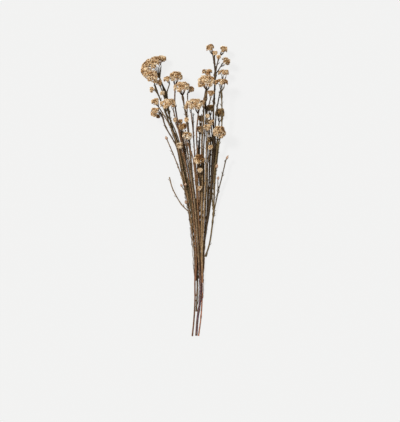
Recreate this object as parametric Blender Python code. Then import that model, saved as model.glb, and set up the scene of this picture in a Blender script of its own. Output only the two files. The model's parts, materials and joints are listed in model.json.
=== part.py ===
"""Dried rice flower bunch: nine cut woody stems that lie together on a surface and end in domed heads
of small florets. +X is across the bunch, +Y runs from the cut ends to the heads, +Z is up, and the
origin is on the surface under the middle of the bunch. Lengths in the tables are in millimetres."""

import math
import random

import bmesh
import bpy
import numpy as np
from mathutils import Matrix, Vector

mm = 0.001
clearance = 0.3  # between a stalk's end and the head that it carries
spacing = 0.5  # least air between two pieces that lie side by side
trim = 0.4  # how much is cut off flat where a piece lies on the surface

# The wood.
stemSides = 6
twigSides = 4
stalkSides = 3
stalkRadius = 0.8
cutSlant = 0.5  # how much the cut ends lean
flatShare = 0.87  # of a six-sided stem's radius, from its middle to a flat side
ringStep = 35.0  # along a stem, from one ring of its mesh to the next
longRun = 110.0  # shorter runs have their rings closer together
shortStep = 24.0
riseStart = -110.0  # where stems leave the narrow neck and start to rise to the height of their heads

# The forks under the heads.
stalkCounts = ((44, 6), (30, 4), (20, 3), (14, 2), (0, 1))  # least width of the head, number of stalks
stalkReach = 0.55  # how far out on the head's underside they meet it, as a share of its half width
stalkEnd = 2.5  # the last stretch of a stalk, straight into the head
forkDepth = 0.4  # how far below the head they part, as a share of its width
lobeFork = 9.0  # the same for a second run under a head
lobeStalks = (-2.5, 2.5)  # its two stalks, aside from it
seatStep = 4.0  # the last stretch of a run that ends in a head or bud without stalks

# The florets, larger than life. Least width of a head, and the radius of its florets.
floretSizes = ((50, 6.0), (28, 5.2), (18, 4.6), (12, 4.0), (0, 3.4))
floretSides = 5
floretShare = 2.55  # area of the dome that one floret covers, in squares of its radius
goldenAngle = math.radians(137.508)
upright = 0.25  # how much florets lean towards the middle of their head
lowestDome = 0.6
outlineWaves = ((2, 0.09), (3, 0.07))  # waves round a head's outline, and their share of its radius

# How the bunch settles.
settleTurns = 160
eagerness = 1.3
firstEasing = 0.25
lastEasing = 0.06
easeUntil = 0.7
lookAround = 6.5

tones = {
    "cream": (0.66, 0.52, 0.36),
    "pale": (0.74, 0.63, 0.47),
    "tan": (0.42, 0.28, 0.15),
    "olive": (0.18, 0.14, 0.07),
    "bud": (0.55, 0.40, 0.30),
}

# Each head: its middle, its width, depth and height, the way its dome faces in plan (degrees from +X),
# how far it is lifted towards straight up (degrees), and its tone.
heads = {
    "head_01": ((-66, 256, 24), (60, 42, 23), 115, 14, "cream"),
    "head_02": ((-72, 231, 45), (41, 30, 17), 235, 72, "cream"),
    "head_03": ((-54, 217, 34), (17, 14, 12), 110, 40, "cream"),
    "head_04": ((-68, 203, 20), (15, 12, 12), 170, 20, "cream"),
    "head_05": ((-20, 230, 30), (31, 29, 20), 85, 30, "cream"),
    "head_06": ((-38, 223, 40), (18, 14, 12), 120, 35, "cream"),
    "head_07": ((-8.5, 208, 44), (36, 31, 19), 95, 40, "cream"),
    "head_08": ((-47, 195, 34), (12, 11, 10), 130, 50, "pale"),
    "head_09": ((-35, 175, 43), (39, 27, 17), 92, 40, "cream"),
    "head_10": ((-63, 158, 28), (25, 20, 17), 165, 35, "cream"),
    "head_11": ((-56, 149, 12), (11, 10, 10), 240, 10, "tan"),
    "head_12": ((18, 174, 42), (43, 32, 20), 90, 40, "cream"),
    "head_13": ((1, 142, 44), (12, 11, 11), 90, 45, "cream"),
    "head_14": ((-11, 138, 26), (12, 11, 11), 95, 30, "tan"),
    "head_15": ((-22, 142, 40), (10, 9, 12), 100, 30, "cream"),
    "head_16": ((-8, 129, 30), (22, 18, 16), 100, 20, "tan"),
    "head_17": ((4, 110, 46), (26, 20, 15), 80, 50, "pale"),
    "head_18": ((-13, 91, 38), (17, 15, 15), 110, 45, "pale"),
    "head_19": ((30, 146, 13), (20, 16, 18), 85, 20, "tan"),
    "head_20": ((27, 125, 14), (18, 15, 15), 95, 20, "tan"),
    "head_21": ((48, 104, 16), (15, 13, 16), 85, 20, "olive"),
    "head_22": ((31, 64, 34), (27, 22, 22), 95, 38, "tan"),
    "head_23": ((28, 42, 28), (15, 12, 10), 90, 40, "cream"),
    "head_24": ((24, 6, 20), (12, 10, 13), 85, 35, "pale"),
    "head_25": ((45, 88, 34), (12, 11, 11), 80, 40, "cream"),
    "head_26": ((48, 286, 30), (22, 19, 15), 112, 20, "cream"),
    "head_27": ((76, 284, 22), (21, 18, 15), 60, 12, "cream"),
    "head_28": ((65, 267, 40), (12, 11, 10), 80, 30, "cream"),
    "head_29": ((82, 258, 26), (21, 19, 17), 45, 20, "cream"),
    "head_30": ((43, 238, 20), (29, 21, 14), 95, 20, "cream"),
    "head_31": ((42, 219, 44), (43, 32, 20), 95, 45, "cream"),
    "head_32": ((74, 240, 22), (27, 19, 15), 80, 12, "cream"),
    "head_33": ((71, 217, 42), (33, 23, 15), 85, 18, "cream"),
    "head_34": ((50, 196, 36), (18, 15, 15), 85, 40, "cream"),
    "head_35": ((44, 150, 38), (11, 10, 10), 90, 40, "cream"),
    "head_36": ((46, 166, 12), (20, 16, 18), 95, 15, "olive"),
    "head_37": ((63, 158, 11), (24, 18, 22), 85, 5, "olive"),
    "head_38": ((48, 138, 26), (20, 16, 15), 80, 30, "cream"),
    "head_39": ((43, 127, 44), (20, 16, 15), 100, 40, "cream"),
    "head_40": ((66, 120, 38), (29, 24, 28), 80, 45, "cream"),
    "head_41": ((57, 276, 30), (13, 12, 10), 80, 30, "cream"),
    "head_42": ((11, 203, 34), (16, 13, 12), 45, 30, "cream"),
    "head_43": ((-61, 179, 32), (22, 17, 14), 120, 40, "cream"),
}
# Heads that two runs carry: how far aside the first one's fork is, as a share of the half width.
sharedHeads = {"head_09": -0.3, "head_12": 0.3}
restingHeads = ("head_01", "head_37")  # they reach the surface

# Each bud: its seat, its length and width, the way it points in plan and its lift.
buds = {
    "bud_1": ((-38, 103, 30), (8, 6), 112, 30),
    "bud_2": ((-8, 9, 13), (7, 5), 118, 30),
    "bud_3": ((-1, 11, 15), (7, 5), 85, 40),
    "bud_4": ((1, -25, 13), (9, 6), 115, 40),
    "bud_5": ((60, 46, 22), (11, 6), 80, 30),
    "bud_6": ((81, 64, 20), (9, 5), 65, 20),
    "bud_7": ((64, 23, 20), (8, 5), 85, 30),
}


def branch(start, radii, end, *route):
    """A run of wood: the run that it leaves, its radii at root and tip, its end and its way in plan."""
    return {"start": start, "radii": radii, "end": end, "route": route}


# Each stem: its tone, the heights of its middle at the cut end and at the neck, and its runs, which
# go from the cut end up. "main" is the first, and every other run leaves one named before it.
stems = {
    "stem_1": {
        "tone": (0.17, 0.095, 0.05),
        "heights": (1.5, 1.6),
        "runs": {
            "main": branch(
                None, (1.6, 1.4), "head_10", (12.6, -291.5), (17.6, -238), (18.0, -198),
                (18.0, -144), (15.5, -104), (11, -68), (6.5, -32), (1, -8), (-4, 14), (-11, 52),
                (-16, 82), (-28, 106), (-38, 124), (-46, 138),
            ),
            "lobe": branch(
                "main", (1.3, 1.2), "head_43", (15, -112), (12, -68), (6, -24), (-1, 18),
                (-9, 56), (-15, 90), (-24, 112), (-34, 134), (-46, 156),
            ),
            "brown": branch("main", (0.8, 0.8), "head_11", (-41, 128), (-47, 139)),
            "side": branch(
                "main", (1.3, 1.1), "bud_1", (-4, 14), (-10, 34), (-16, 50), (-22, 66), (-29, 82),
            ),
            "bare": branch(
                "main", (1.2, 1.2), (-33.4, 28, 12), (8.5, -48), (2, -41), (-7, -29), (-14, -18),
                (-22, -6), (-28, 8), (-31, 16),
            ),
            "budded": branch("main", (0.8, 0.8), "bud_2", (1, -8), (-3.5, 0)),
            "buddedRight": branch("main", (0.8, 0.8), "bud_3", (-1, -2), (-1, 3)),
            "low": branch("main", (0.8, 0.8), "bud_4", (7, -42), (4, -34)),
            "back": branch(
                "main", (1.2, 1.0), (-22, 116, 14), (14, -96), (9, -60), (2.5, -12), (-5, 36),
                (-12, 78),
            ),
        },
    },
    "stem_2": {
        "tone": (0.16, 0.10, 0.05),
        "heights": (1.7, 1.8),
        "runs": {
            "main": branch(
                None, (1.7, 1.6), "head_01", (19, -242), (21.4, -198), (21.4, -144), (19.2, -104),
                (15.2, -68), (11, -32), (5.5, 2), (-2, 38), (-9, 72), (-15, 94), (-24, 118),
                (-30, 136), (-34, 158), (-38, 184), (-44, 204), (-52, 224),
            ),
            "left": branch(
                "main", (1.6, 1.3), "head_02", (20, -128), (17, -92), (10, -40), (4, -4),
                (-5, 40), (-13, 76), (-22, 104), (-33, 134), (-43, 160), (-52, 184), (-61, 206),
            ),
            "leftLow": branch("left", (0.8, 0.8), "head_04", (-52, 184), (-59, 194)),
            "middle": branch("main", (1.3, 1.1), "head_03", (-36, 170), (-45, 192), (-51, 206)),
            "right": branch("main", (1.3, 1.1), "head_06", (-34, 158), (-36, 184), (-38, 206)),
            "lobe": branch(
                "main", (1.5, 1.3), "head_09", (16, -72), (10, -20), (2, 26), (-6, 66), (-13, 96),
                (-21, 118), (-28, 136),
            ),
            "front": branch("main", (0.8, 0.8), "head_08", (-34, 158), (-41, 182)),
            "back": branch(
                "main", (1.2, 1.0), (-13, 138, 12), (18, -96), (14, -52), (8, 0), (1.5, 50),
                (-6, 98),
            ),
        },
    },
    "stem_3": {
        "tone": (0.22, 0.12, 0.075),
        "heights": (6.0, 6.0),
        "runs": {
            "main": branch(
                None, (1.9, 1.4), "head_05", (19, -180), (20.8, -142), (19.8, -104), (17.4, -62),
                (14.8, -28), (9.6, 6), (3, 42), (-3, 72), (-7, 96), (-12, 118), (-17, 142),
                (-21, 168), (-24, 188), (-24, 204),
            ),
            "lobe": branch(
                "main", (1.3, 1.2), ("head_09", 9), (20, -118), (17, -66), (12, -14), (4, 34),
                (-4, 70), (-11, 104), (-17, 130), (-22, 152),
            ),
            "small": branch("main", (0.8, 0.8), "head_15", (-9, 104), (-16, 124)),
            "pale": branch("main", (1.3, 1.1), "head_18", (8, 10), (3, 40), (-6, 72)),
            "back": branch(
                "main", (1.2, 1.0), (-1, 122, 16), (18.6, -84), (15.5, -40), (11, 10), (6, 58),
                (2, 96),
            ),
        },
    },
    "stem_4": {
        "tone": (0.13, 0.075, 0.07),
        "heights": (2.1, 6.4),
        "runs": {
            "main": branch(
                None, (2.4, 1.6), "head_07", (20.6, -290.5), (24, -246), (29.2, -212),
                (28.8, -184), (26.2, -142), (25.0, -104), (22.4, -62), (20, -28), (16, 6),
                (12, 42), (9, 78), (8, 102), (6, 120), (2, 142), (-2, 162), (-6, 182),
            ),
            "brown": branch(
                "main", (1.8, 1.3), "head_16", (25.6, -128), (22, -84), (17.6, -28), (12.6, 6),
                (8, 42), (2, 78), (-4, 104),
            ),
            "left": branch(
                "brown", (1.2, 1.2), "head_14", (16, -16), (9, 24), (2, 62), (-4, 96), (-9, 122),
            ),
            "front": branch("main", (1.3, 1.1), "head_13", (11, 52), (8, 90), (4, 124)),
            "rightLobe": branch("main", (1.3, 1.1), "head_42", (4, 132), (2, 160), (4, 184)),
        },
    },
    "stem_5": {
        "tone": (0.24, 0.13, 0.085),
        "heights": (1.3, 1.5),
        "runs": {
            "main": branch(
                None, (1.4, 1.4), "head_12", (25, -291), (29, -262), (30.6, -236), (32.2, -212),
                (31.6, -180), (28, -142), (26.8, -104), (26, -62), (25.2, -28), (24, 6),
                (23.4, 42), (22.4, 82), (21.4, 106), (21.6, 130),
            ),
            "left": branch(
                "main", (1.3, 1.2), ("head_12", -8), (26, -64), (24, -20), (21.6, 14), (19, 50),
                (16, 88), (14, 120), (11, 144),
            ),
            "pale": branch(
                "main", (1.5, 1.3), "head_17", (28.6, -132), (26, -84), (22.6, -28), (20.4, 6),
                (17, 42), (11, 80),
            ),
            "front": branch("main", (0.8, 0.8), "head_24", (25.6, -52), (25, -20)),
        },
    },
    "stem_6": {
        "tone": (0.23, 0.14, 0.08),
        "heights": (6.4, 6.6),
        "runs": {
            "main": branch(
                None, (2.2, 1.6), "head_31", (33, -184), (32.0, -142), (31.6, -104), (31.6, -62),
                (32, -28), (33, 6), (33, 42), (32, 82), (34, 112), (36, 134), (37, 156),
                (37, 176), (36, 190),
            ),
            "behind": branch(
                "main", (1.5, 1.3), "head_30", (31.6, -104), (32, -56), (34.5, -14), (35.5, 20),
                (36, 52), (35, 88), (38, 124), (40, 160), (37, 190), (40, 216),
            ),
            "right": branch(
                "main", (1.2, 1.2), "head_34", (32, -28), (34, 12), (34, 56), (36, 100),
                (40, 136), (43, 172),
            ),
            "rose": branch(
                "main", (1.7, 1.3), "head_39", (32, -136), (34, -88), (37, -28), (38.4, 6),
                (39.4, 42), (41, 76), (42, 104),
            ),
            "roseLow": branch("rose", (0.8, 0.8), "head_25", (38.6, 16), (41, 48), (44, 72)),
            "back": branch(
                "main", (1.2, 1.0), (31.5, 154, 22), (31.6, -84), (30, -40), (30, 10), (30.5, 60),
                (31.5, 108),
            ),
        },
    },
    "stem_7": {
        "tone": (0.15, 0.10, 0.055),
        "heights": (1.6, 1.7),
        "runs": {
            "main": branch(
                None, (1.6, 1.6), "head_40", (37.6, -132), (40, -120), (46, -103),
                (50, -86), (52.6, -62), (55, -32), (55.4, 2), (56, 42), (59, 62), (62, 82),
            ),
            "behind": branch(
                "main", (1.5, 1.3), "head_33", (52, -64), (55, -24), (57, 20), (61, 60), (65, 96),
                (70, 128), (70, 150), (71, 174), (72, 192),
            ),
            "side": branch(
                "main", (1.2, 1.2), "bud_6", (54, -50), (58, -40), (61, -26), (62.5, -8),
                (66, 14), (72, 28), (77, 44),
            ),
            "bud": branch("side", (0.8, 0.8), "bud_7", (62.5, -4), (63.5, 10)),
            "budHigh": branch("main", (0.8, 0.8), "bud_5", (55.4, 10), (58, 32)),
            "back": branch(
                "main", (1.2, 1.0), (56, 148, 10), (52.6, -44), (51.4, 0), (52, 56),
                (54, 106),
            ),
        },
    },
    "stem_8": {
        "tone": (0.11, 0.07, 0.035),
        "heights": (1.9, 2.0),
        "runs": {
            "main": branch(
                None, (1.9, 1.7), "head_41", (31.4, -164), (31.8, -130), (35.6, -100), (41, -58),
                (45, -28), (49, 6), (52, 42), (54.6, 82), (54.4, 122), (53.6, 150), (55, 182),
                (56.6, 206), (57.4, 230), (57.6, 252),
            ),
            "topLeft": branch("main", (1.1, 1.0), "head_26", (57.6, 246), (55.6, 260)),
            "topMiddle": branch("main", (1.1, 1.0), "head_28", (57.6, 242), (61.4, 252)),
            "topRight": branch("main", (1.1, 1.0), "head_27", (57.6, 242), (62, 255), (66, 265)),
            "outer": branch("main", (1.1, 1.0), "head_29", (57.4, 232), (63, 242)),
            "fan": branch(
                "main", (1.5, 1.3), "head_32", (38, -84), (44, -46), (49, -4), (53, 46), (57, 96),
                (56, 136), (60, 168), (64, 192), (69, 210), (72, 222),
            ),
            "olive": branch(
                "main", (1.2, 1.2), "head_36", (45, -30), (48, 10), (50, 48), (51, 88), (50, 124),
                (48, 148),
            ),
            "oliveLow": branch("main", (1.2, 1.2), "head_37", (49, 6), (53, 46), (57, 88), (61, 134)),
            "rose": branch(
                "main", (1.6, 1.3), "head_38", (34, -118), (38, -76), (42, -28), (44.4, 6),
                (46.4, 42), (48, 82), (49, 116),
            ),
            "roseLow": branch("rose", (0.9, 0.9), "head_21", (44.4, 6), (46, 48), (47.5, 84)),
            "roseHigh": branch(
                "rose", (1.3, 1.1), "head_35", (40, -50), (42, -6), (43, 42), (44, 88), (44, 136),
            ),
            "back": branch(
                "main", (1.2, 1.0), (40, 178, 14), (34, -112), (37, -60), (39.5, -10), (41, 40),
                (41, 90), (41.5, 134),
            ),
        },
    },
    "stem_9": {
        "tone": (0.15, 0.09, 0.05),
        "heights": (1.4, 1.5),
        "runs": {
            "main": branch(
                None, (1.3, 1.3), "head_19", (25, -176), (24.8, -142), (24, -104), (24.6, -62),
                (27, -28), (28.6, 6), (28, 42), (27, 82), (28, 122),
            ),
            "low": branch("main", (1.2, 1.2), "head_20", (28, -10), (26.4, 30), (25, 70), (25.4, 104)),
            "pale": branch("main", (0.9, 0.9), "head_22", (28.6, 6), (29, 22), (30.6, 36)),
            "paleLow": branch("main", (0.8, 0.8), "head_23", (26, -40), (27, -4), (28, 24)),
            "back": branch(
                "main", (1.2, 1.0), (14, 156, 22), (24.4, -112), (22.5, -62), (22, -10),
                (19.5, 40), (17, 90), (15, 126),
            ),
            "backLeft": branch(
                "main", (1.2, 1.0), (3, 126, 12), (24.4, -84), (19, -34), (14, 16), (9, 66),
                (5, 102),
            ),
        },
    },
}
restingStems = ("stem_1", "stem_2", "stem_4", "stem_5")  # their cut ends lie on the surface
restingLength = 60.0  # of each, from the cut end

# Stubs of stripped leaves: the stem, its run, how far along it, the way the stub leans, and its length.
stubs = (
    ("stem_1", "main", 0.385, 170, 7.0),
    ("stem_1", "main", 0.345, 165, 5.0),
    ("stem_1", "bare", 0.55, 200, 5.0),
    ("stem_1", "side", 0.60, 190, 4.0),
    ("stem_4", "main", 0.93, 300, 12.0),
    ("stem_7", "side", 0.45, 10, 5.0),
    ("stem_7", "main", 0.72, 20, 6.0),
    ("stem_8", "fan", 0.55, 10, 7.0),
    ("stem_7", "behind", 0.62, 10, 5.0),
)


def clearScene():
    for obj in list(bpy.data.objects):
        bpy.data.objects.remove(obj)


def frameOf(facing, lift):
    """Across, over and along: unit vectors of a head or bud that faces this way."""
    turn = math.radians(facing)
    rise = math.radians(lift)
    along = np.array([math.cos(rise) * math.cos(turn), math.cos(rise) * math.sin(turn), math.sin(rise)])
    across = np.array([math.sin(turn), -math.cos(turn), 0.0])
    return across, np.cross(along, across), along


def domeShape(name):
    """Half axes of the dome on which a head's florets are centred, their size and the outline's waves."""
    width, depth, height = heads[name][1]
    radius = next(radius for least, radius in floretSizes if width >= least)
    tall = max(lowestDome, height - 2 * radius)
    draw = random.Random(name)
    waves = [(times, much, draw.uniform(0, 2 * math.pi)) for times, much in outlineWaves]
    return width / 2 - radius, depth / 2 - radius, tall, radius, waves


def domePoint(shape, tilt, turn):
    """A point of the dome, across, over and along from the middle of its flat underside."""
    wide, deep, tall, radius, waves = shape
    waved = 1 + sum(much * math.sin(times * turn + begin) for times, much, begin in waves)
    reach = math.sin(tilt) * waved
    x = wide * reach * math.cos(turn)
    y = deep * reach * math.sin(turn)
    return np.array([x, y, radius + tall * math.cos(tilt)])


def domeAreas(shape):
    """Tilts from the pole to the rim, and the area of the dome above each of them."""
    wide, deep, tall, _, _ = shape
    mean = math.sqrt(wide * deep)
    tilts = np.linspace(0, math.pi / 2, 60)
    strips = 2 * math.pi * mean * np.sin(tilts) * np.hypot(mean * np.cos(tilts), tall * np.sin(tilts))
    return tilts, np.cumsum(strips) * (tilts[1] - tilts[0])


def floretPlaces(name):
    """(place, direction, size) of each floret of a head, wound round its dome as sunflower seeds are."""
    shape = domeShape(name)
    radius = shape[3]
    tilts, areas = domeAreas(shape)
    count = max(3, round(areas[-1] / (floretShare * radius**2)))
    draw = random.Random(name + "florets")
    places = []
    for i in range(count):
        tilt = np.interp((i + 0.5) / count * areas[-1], areas, tilts)
        turn = i * goldenAngle + draw.uniform(-0.12, 0.12)
        lean = math.sin(tilt)
        outward = np.array([lean * math.cos(turn), lean * math.sin(turn), upright + math.cos(tilt)])
        outward /= np.linalg.norm(outward)
        places.append((domePoint(shape, tilt, turn), outward, radius * draw.uniform(0.9, 1.04)))
    return places


def lengthsAlong(points):
    return np.concatenate([[0], np.cumsum(np.linalg.norm(np.diff(points, axis=0), axis=1))])


def smoothRoute(points, step, keep):
    """Points about this far apart on a smooth curve through these ones, with one wherever a run leaves."""
    points = np.array(points, float)
    padded = np.vstack([2 * points[0] - points[1], points, 2 * points[-1] - points[-2]])
    fine = []
    for i in range(len(points) - 1):
        p, q, r, s = padded[i : i + 4]
        for t in np.linspace(0, 1, 12, endpoint=False):
            bend = 2 * p - 5 * q + 4 * r - s
            fine.append(q + 0.5 * t * (r - p + t * (bend + t * (3 * (q - r) + s - p))))
    fine.append(points[-1])
    fine = np.array(fine)
    lengths = lengthsAlong(fine)
    wanted = np.linspace(0, lengths[-1], max(2, round(lengths[-1] / step) + 1))
    for spot in keep:
        there = lengths[np.argmin(np.linalg.norm(fine[:, :2] - spot, axis=1))]
        if len(wanted) > 2:
            wanted[1 + np.argmin(np.abs(wanted[1:-1] - there))] = there
    wanted.sort()
    return np.stack([np.interp(wanted, lengths, fine[:, k]) for k in range(3)], axis=1)


def stalkTips(name):
    """Where stalks meet a head's flat underside, across and over from its middle; none if the run does."""
    count = next(count for least, count in stalkCounts if heads[name][1][0] >= least)
    if count == 1:
        return []
    wide, deep = domeShape(name)[:2]
    aside = sharedHeads.get(name, 0)
    reach = stalkReach - abs(aside) * 2 / 3
    turns = [2.4 + i * 2 * math.pi / count for i in range(count)]
    return [(wide * (reach * math.cos(turn) + aside), deep * stalkReach * math.sin(turn)) for turn in turns]


def rising(t):
    """From 0 to 1 with a level start and end."""
    t = min(1, max(0, t))
    return t * t * (3 - 2 * t)


def mainHeights(way, tip, heights):
    """Points of a main run: nearly level from its cut end to the neck, then up to the height of its tip."""
    cut, neck = heights
    placed = []
    for x, y in way:
        if y < riseStart:
            z = cut + (neck - cut) * (y - way[0][1]) / (riseStart - way[0][1])
        else:
            z = neck + (tip - neck) * rising((y - riseStart) / (way[-1][1] - riseStart))
        placed.append((x, y, z))
    return placed


def sideHeights(way, tip, root):
    """Points of a run that leaves another one at the height root."""
    gone = lengthsAlong(way)
    return [(x, y, root + (tip - root) * rising(far / gone[-1])) for (x, y), far in zip(way, gone)]


class Layout:
    """The bunch as rods between points and balls on points, which settles so that no two pieces touch."""

    def __init__(self):
        self.points = []
        self.group = []  # the head or bud that a point is fixed to, or None
        self.rods = []  # first point, last point, radius, piece, the head or bud that the rod may touch
        self.rings = {}  # (stem, run): its points in order
        self.stalks = {}  # stem: the points of each thin stalk
        self.seats = {}  # head or bud: the point at the middle of its underside

    def add(self, place, group=None):
        self.points.append(np.array(place, float))
        self.group.append(group)
        return len(self.points) - 1

    def addBall(self, place, radius, name):
        ball = self.add(place, name)
        self.rods.append((ball, ball, radius, name, None))

    def addHead(self, name):
        """A ball for each floret, and flat ones over the underside."""
        middle, size, facing, lift, _ = heads[name]
        across, over, along = frameOf(facing, lift)
        base = np.array(middle, float) - along * size[2] / 2
        self.seats[name] = self.add(base, name)
        wide, deep, _, floret, _ = domeShape(name)
        for place, _, radius in floretPlaces(name):
            self.addBall(base + across * place[0] + over * place[1] + along * place[2], radius, name)
        small = 0.8 * floret
        for x in (-0.6, 0, 0.6):
            for y in (-0.6, 0, 0.6):
                self.addBall(base + across * wide * x + over * deep * y + along * small, small, name)

    def addBud(self, name):
        seat, (length, width), facing, lift = buds[name]
        along = frameOf(facing, lift)[2]
        self.seats[name] = self.add(seat, name)
        low = self.add(seat + along * width / 2, name)
        high = self.add(seat + along * (length - width / 2), name)
        self.rods.append((low, high, width / 2, name, None))

    def endOf(self, end):
        """What a run carries, its last fork or point, where it meets its load, and where stalks do."""
        if len(end) == 3:
            return None, np.array(end, float), None, []
        carried, aside = end if len(end) == 2 else (end, None)
        facing, lift = (heads if carried in heads else buds)[carried][2:4]
        across, _, along = frameOf(facing, lift)
        base = self.points[self.seats[carried]]
        if aside is not None:
            offsets = [(aside + s, s) for s in lobeStalks]
            return carried, base + across * aside - along * lobeFork, None, offsets
        offsets = stalkTips(carried) if carried in heads else []
        if not offsets:
            return carried, base - along * seatStep, base - along * clearance, []
        width = heads[carried][1][0]
        aside = sharedHeads.get(carried, 0) * width / 2
        return carried, base - along * forkDepth * width + across * aside, None, offsets

    def addStalks(self, stem, name, offsets, fork):
        """Thin stalks from a run's end to a head's underside."""
        across, over, along = frameOf(*heads[name][2:4])
        base = self.points[self.seats[name]]
        for x, y in offsets:
            tip = base + across * x + over * y - along * clearance
            under = self.add(tip - along * stalkEnd, name)
            end = self.add(tip, name)
            self.rods.append((fork, under, stalkRadius, stem, name))
            self.stalks.setdefault(stem, []).append((fork, under, end))

    def addRun(self, stem, run):
        """The rings of one run, from the run that it leaves to the fork under what it carries."""
        spec = stems[stem]["runs"][run]
        carried, tip, seat, offsets = self.endOf(spec["end"])
        route = [np.array(spot, float) for spot in spec["route"]]
        first = None
        if spec["start"]:
            parent = self.rings[stem, spec["start"]]
            first = min(parent[1:-1], key=lambda i: math.dist(self.points[i][:2], route[0]))
            root = self.points[first]
            placed = sideHeights([root[:2], *route[1:], tip[:2]], tip[2], root[2])
        else:
            placed = mainHeights([*route, tip[:2]], tip[2], stems[stem]["heights"])
        leaving = [other["route"][0] for other in stems[stem]["runs"].values() if other["start"] == run]
        long = lengthsAlong(placed)[-1] > longRun
        smooth = smoothRoute(placed, ringStep if long else shortStep, leaving)
        ids = [self.add(smooth[0]) if first is None else first]
        ids += [self.add(place) for place in smooth[1:-1]]
        ids.append(self.add(tip, carried))
        if seat is not None:
            ids.append(self.add(seat, carried))
        self.rings[stem, run] = ids
        radii = np.linspace(*spec["radii"], len(ids))
        for a, b, radius in zip(ids, ids[1:], radii):
            self.rods.append((a, b, radius, stem, carried))
        if offsets:
            self.addStalks(stem, carried, offsets, ids[-1])

    def fill(self):
        for name in heads:
            self.addHead(name)
        for name in buds:
            self.addBud(name)
        for stem, spec in stems.items():
            for run in spec["runs"]:
                self.addRun(stem, run)

    def arrays(self):
        """The rods as arrays: first and last points, radii, pieces, and the pieces that they may touch."""
        numbers = {name: k for k, name in enumerate([*stems, *heads, *buds])}
        first, last, radii, pieces, loads = zip(*self.rods)
        pieces = np.array([numbers[name] for name in pieces])
        loads = np.array([numbers.get(name, -1) for name in loads])
        return np.array(first), np.array(last), np.array(radii), pieces, loads

    def lowestHeights(self):
        """How low each point may lie, so that its piece rests on the surface or stays just above it."""
        lowest = np.zeros(len(self.points))
        for a, b, radius, piece, _ in self.rods:
            resting = piece in restingStems or piece in restingHeads
            least = radius * flatShare - trim if resting else radius
            lowest[a] = max(lowest[a], least)
            lowest[b] = max(lowest[b], least)
        return lowest

    def restingPoints(self):
        """The points of the stems' lower ends that lie on the surface."""
        resting = []
        for stem in restingStems:
            ids = self.rings[stem, "main"]
            top = self.points[ids[0]][1] + restingLength
            resting += [k for k in ids if self.points[k][1] < top]
        return resting

    def settle(self, turns):
        """Pushes different pieces apart, keeping each run's curve and each head's shape. Returns the air."""
        points = np.array(self.points)
        start = points.copy()
        first, last, radii, pieces, loads = self.arrays()
        bends = [ids[k - 1 : k + 2] for ids in self.rings.values() for k in range(1, len(ids) - 1)]
        bends = np.array([bend for bend in bends if self.group[bend[1]] is None])
        curve = start[bends[:, 1]] - (start[bends[:, 0]] + start[bends[:, 2]]) / 2
        owners = np.array([owner or "" for owner in self.group])
        bodies = {name: np.flatnonzero(owners == name) for name in self.seats}
        drift = {name: np.zeros(3) for name in bodies}
        lowest = self.lowestHeights()
        resting = self.restingPoints()
        for turn in range(turns):
            if turn % 8 == 0:
                ends = np.stack([points[first], points[last]], axis=1)
                i, j = nearPairs(ends, radii, pieces, loads)
            s, t = nearest(points[first[i]], points[last[i]], points[first[j]], points[last[j]])
            onI = points[first[i]] * (1 - s) + points[last[i]] * s
            onJ = points[first[j]] * (1 - t) + points[last[j]] * t
            far = np.maximum(np.linalg.norm(onI - onJ, axis=1, keepdims=True), 1e-6)
            short = np.maximum(0, (radii[i] + radii[j] + spacing)[:, None] - far)
            push = (onI - onJ) / far * short / 2
            moved = np.zeros_like(points)
            pushes = np.zeros((len(points), 1))
            parts = ((first[i], 1 - s), (last[i], s), (first[j], t - 1), (last[j], -t))
            for ids, share in parts:
                np.add.at(moved, ids, share * push)
                np.add.at(pushes, ids, (np.abs(share) * short > 0).astype(float))
            points += eagerness * moved / np.maximum(1, pushes)
            for name, ids in bodies.items():
                drift[name] += eagerness * moved[ids].sum(axis=0) / max(1, pushes[ids].sum())
                sunk = (lowest[ids] - start[ids, 2]).max() - drift[name][2]
                if sunk > 0 or name in restingHeads:
                    drift[name][2] += sunk
                points[ids] = start[ids] + drift[name]
            straight = (points[bends[:, 0]] + points[bends[:, 2]]) / 2
            easing = firstEasing if turn < turns * easeUntil else lastEasing
            points[bends[:, 1]] += easing * (straight + curve - points[bends[:, 1]])
            points[:, 2] = np.maximum(points[:, 2], lowest)
            points[resting, 2] = lowest[resting]
        self.points = points
        return spacing - float(short.max())


def nearPairs(ends, radii, pieces, loads):
    """Indices of rods of two pieces that are near enough to be looked at closely."""
    middle = (ends[:, 0] + ends[:, 1]) / 2
    half = np.linalg.norm(ends[:, 0] - ends[:, 1], axis=1) / 2 + radii
    i, j = np.triu_indices(len(ends), 1)
    apart = (pieces[i] != pieces[j]) & (loads[i] != pieces[j]) & (loads[j] != pieces[i])
    i, j = i[apart], j[apart]
    near = np.linalg.norm(middle[i] - middle[j], axis=1) < half[i] + half[j] + lookAround
    return i[near], j[near]


def nearest(a0, a1, b0, b1):
    """How far along two sets of rods they come nearest to each other, as fractions."""
    a = a1 - a0
    b = b1 - b0
    c = a0 - b0
    aa = np.maximum((a * a).sum(1), 1e-9)
    bb = np.maximum((b * b).sum(1), 1e-9)
    ab = (a * b).sum(1)
    ac = (a * c).sum(1)
    bc = (b * c).sum(1)
    s = np.clip((ab * bc - ac * bb) / np.maximum(aa * bb - ab * ab, 1e-9), 0, 1)
    t = np.clip((ab * s + bc) / bb, 0, 1)
    s = np.clip((ab * t - ac) / aa, 0, 1)
    return s[:, None], t[:, None]


def makeMaterial(name, colour, roughness):
    material = bpy.data.materials.new(name)
    material.use_nodes = True
    shader = material.node_tree.nodes["Principled BSDF"]
    shader.inputs["Base Color"].default_value = (*colour, 1)
    shader.inputs["Roughness"].default_value = roughness
    shader.inputs["Metallic"].default_value = 0
    return material


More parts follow.
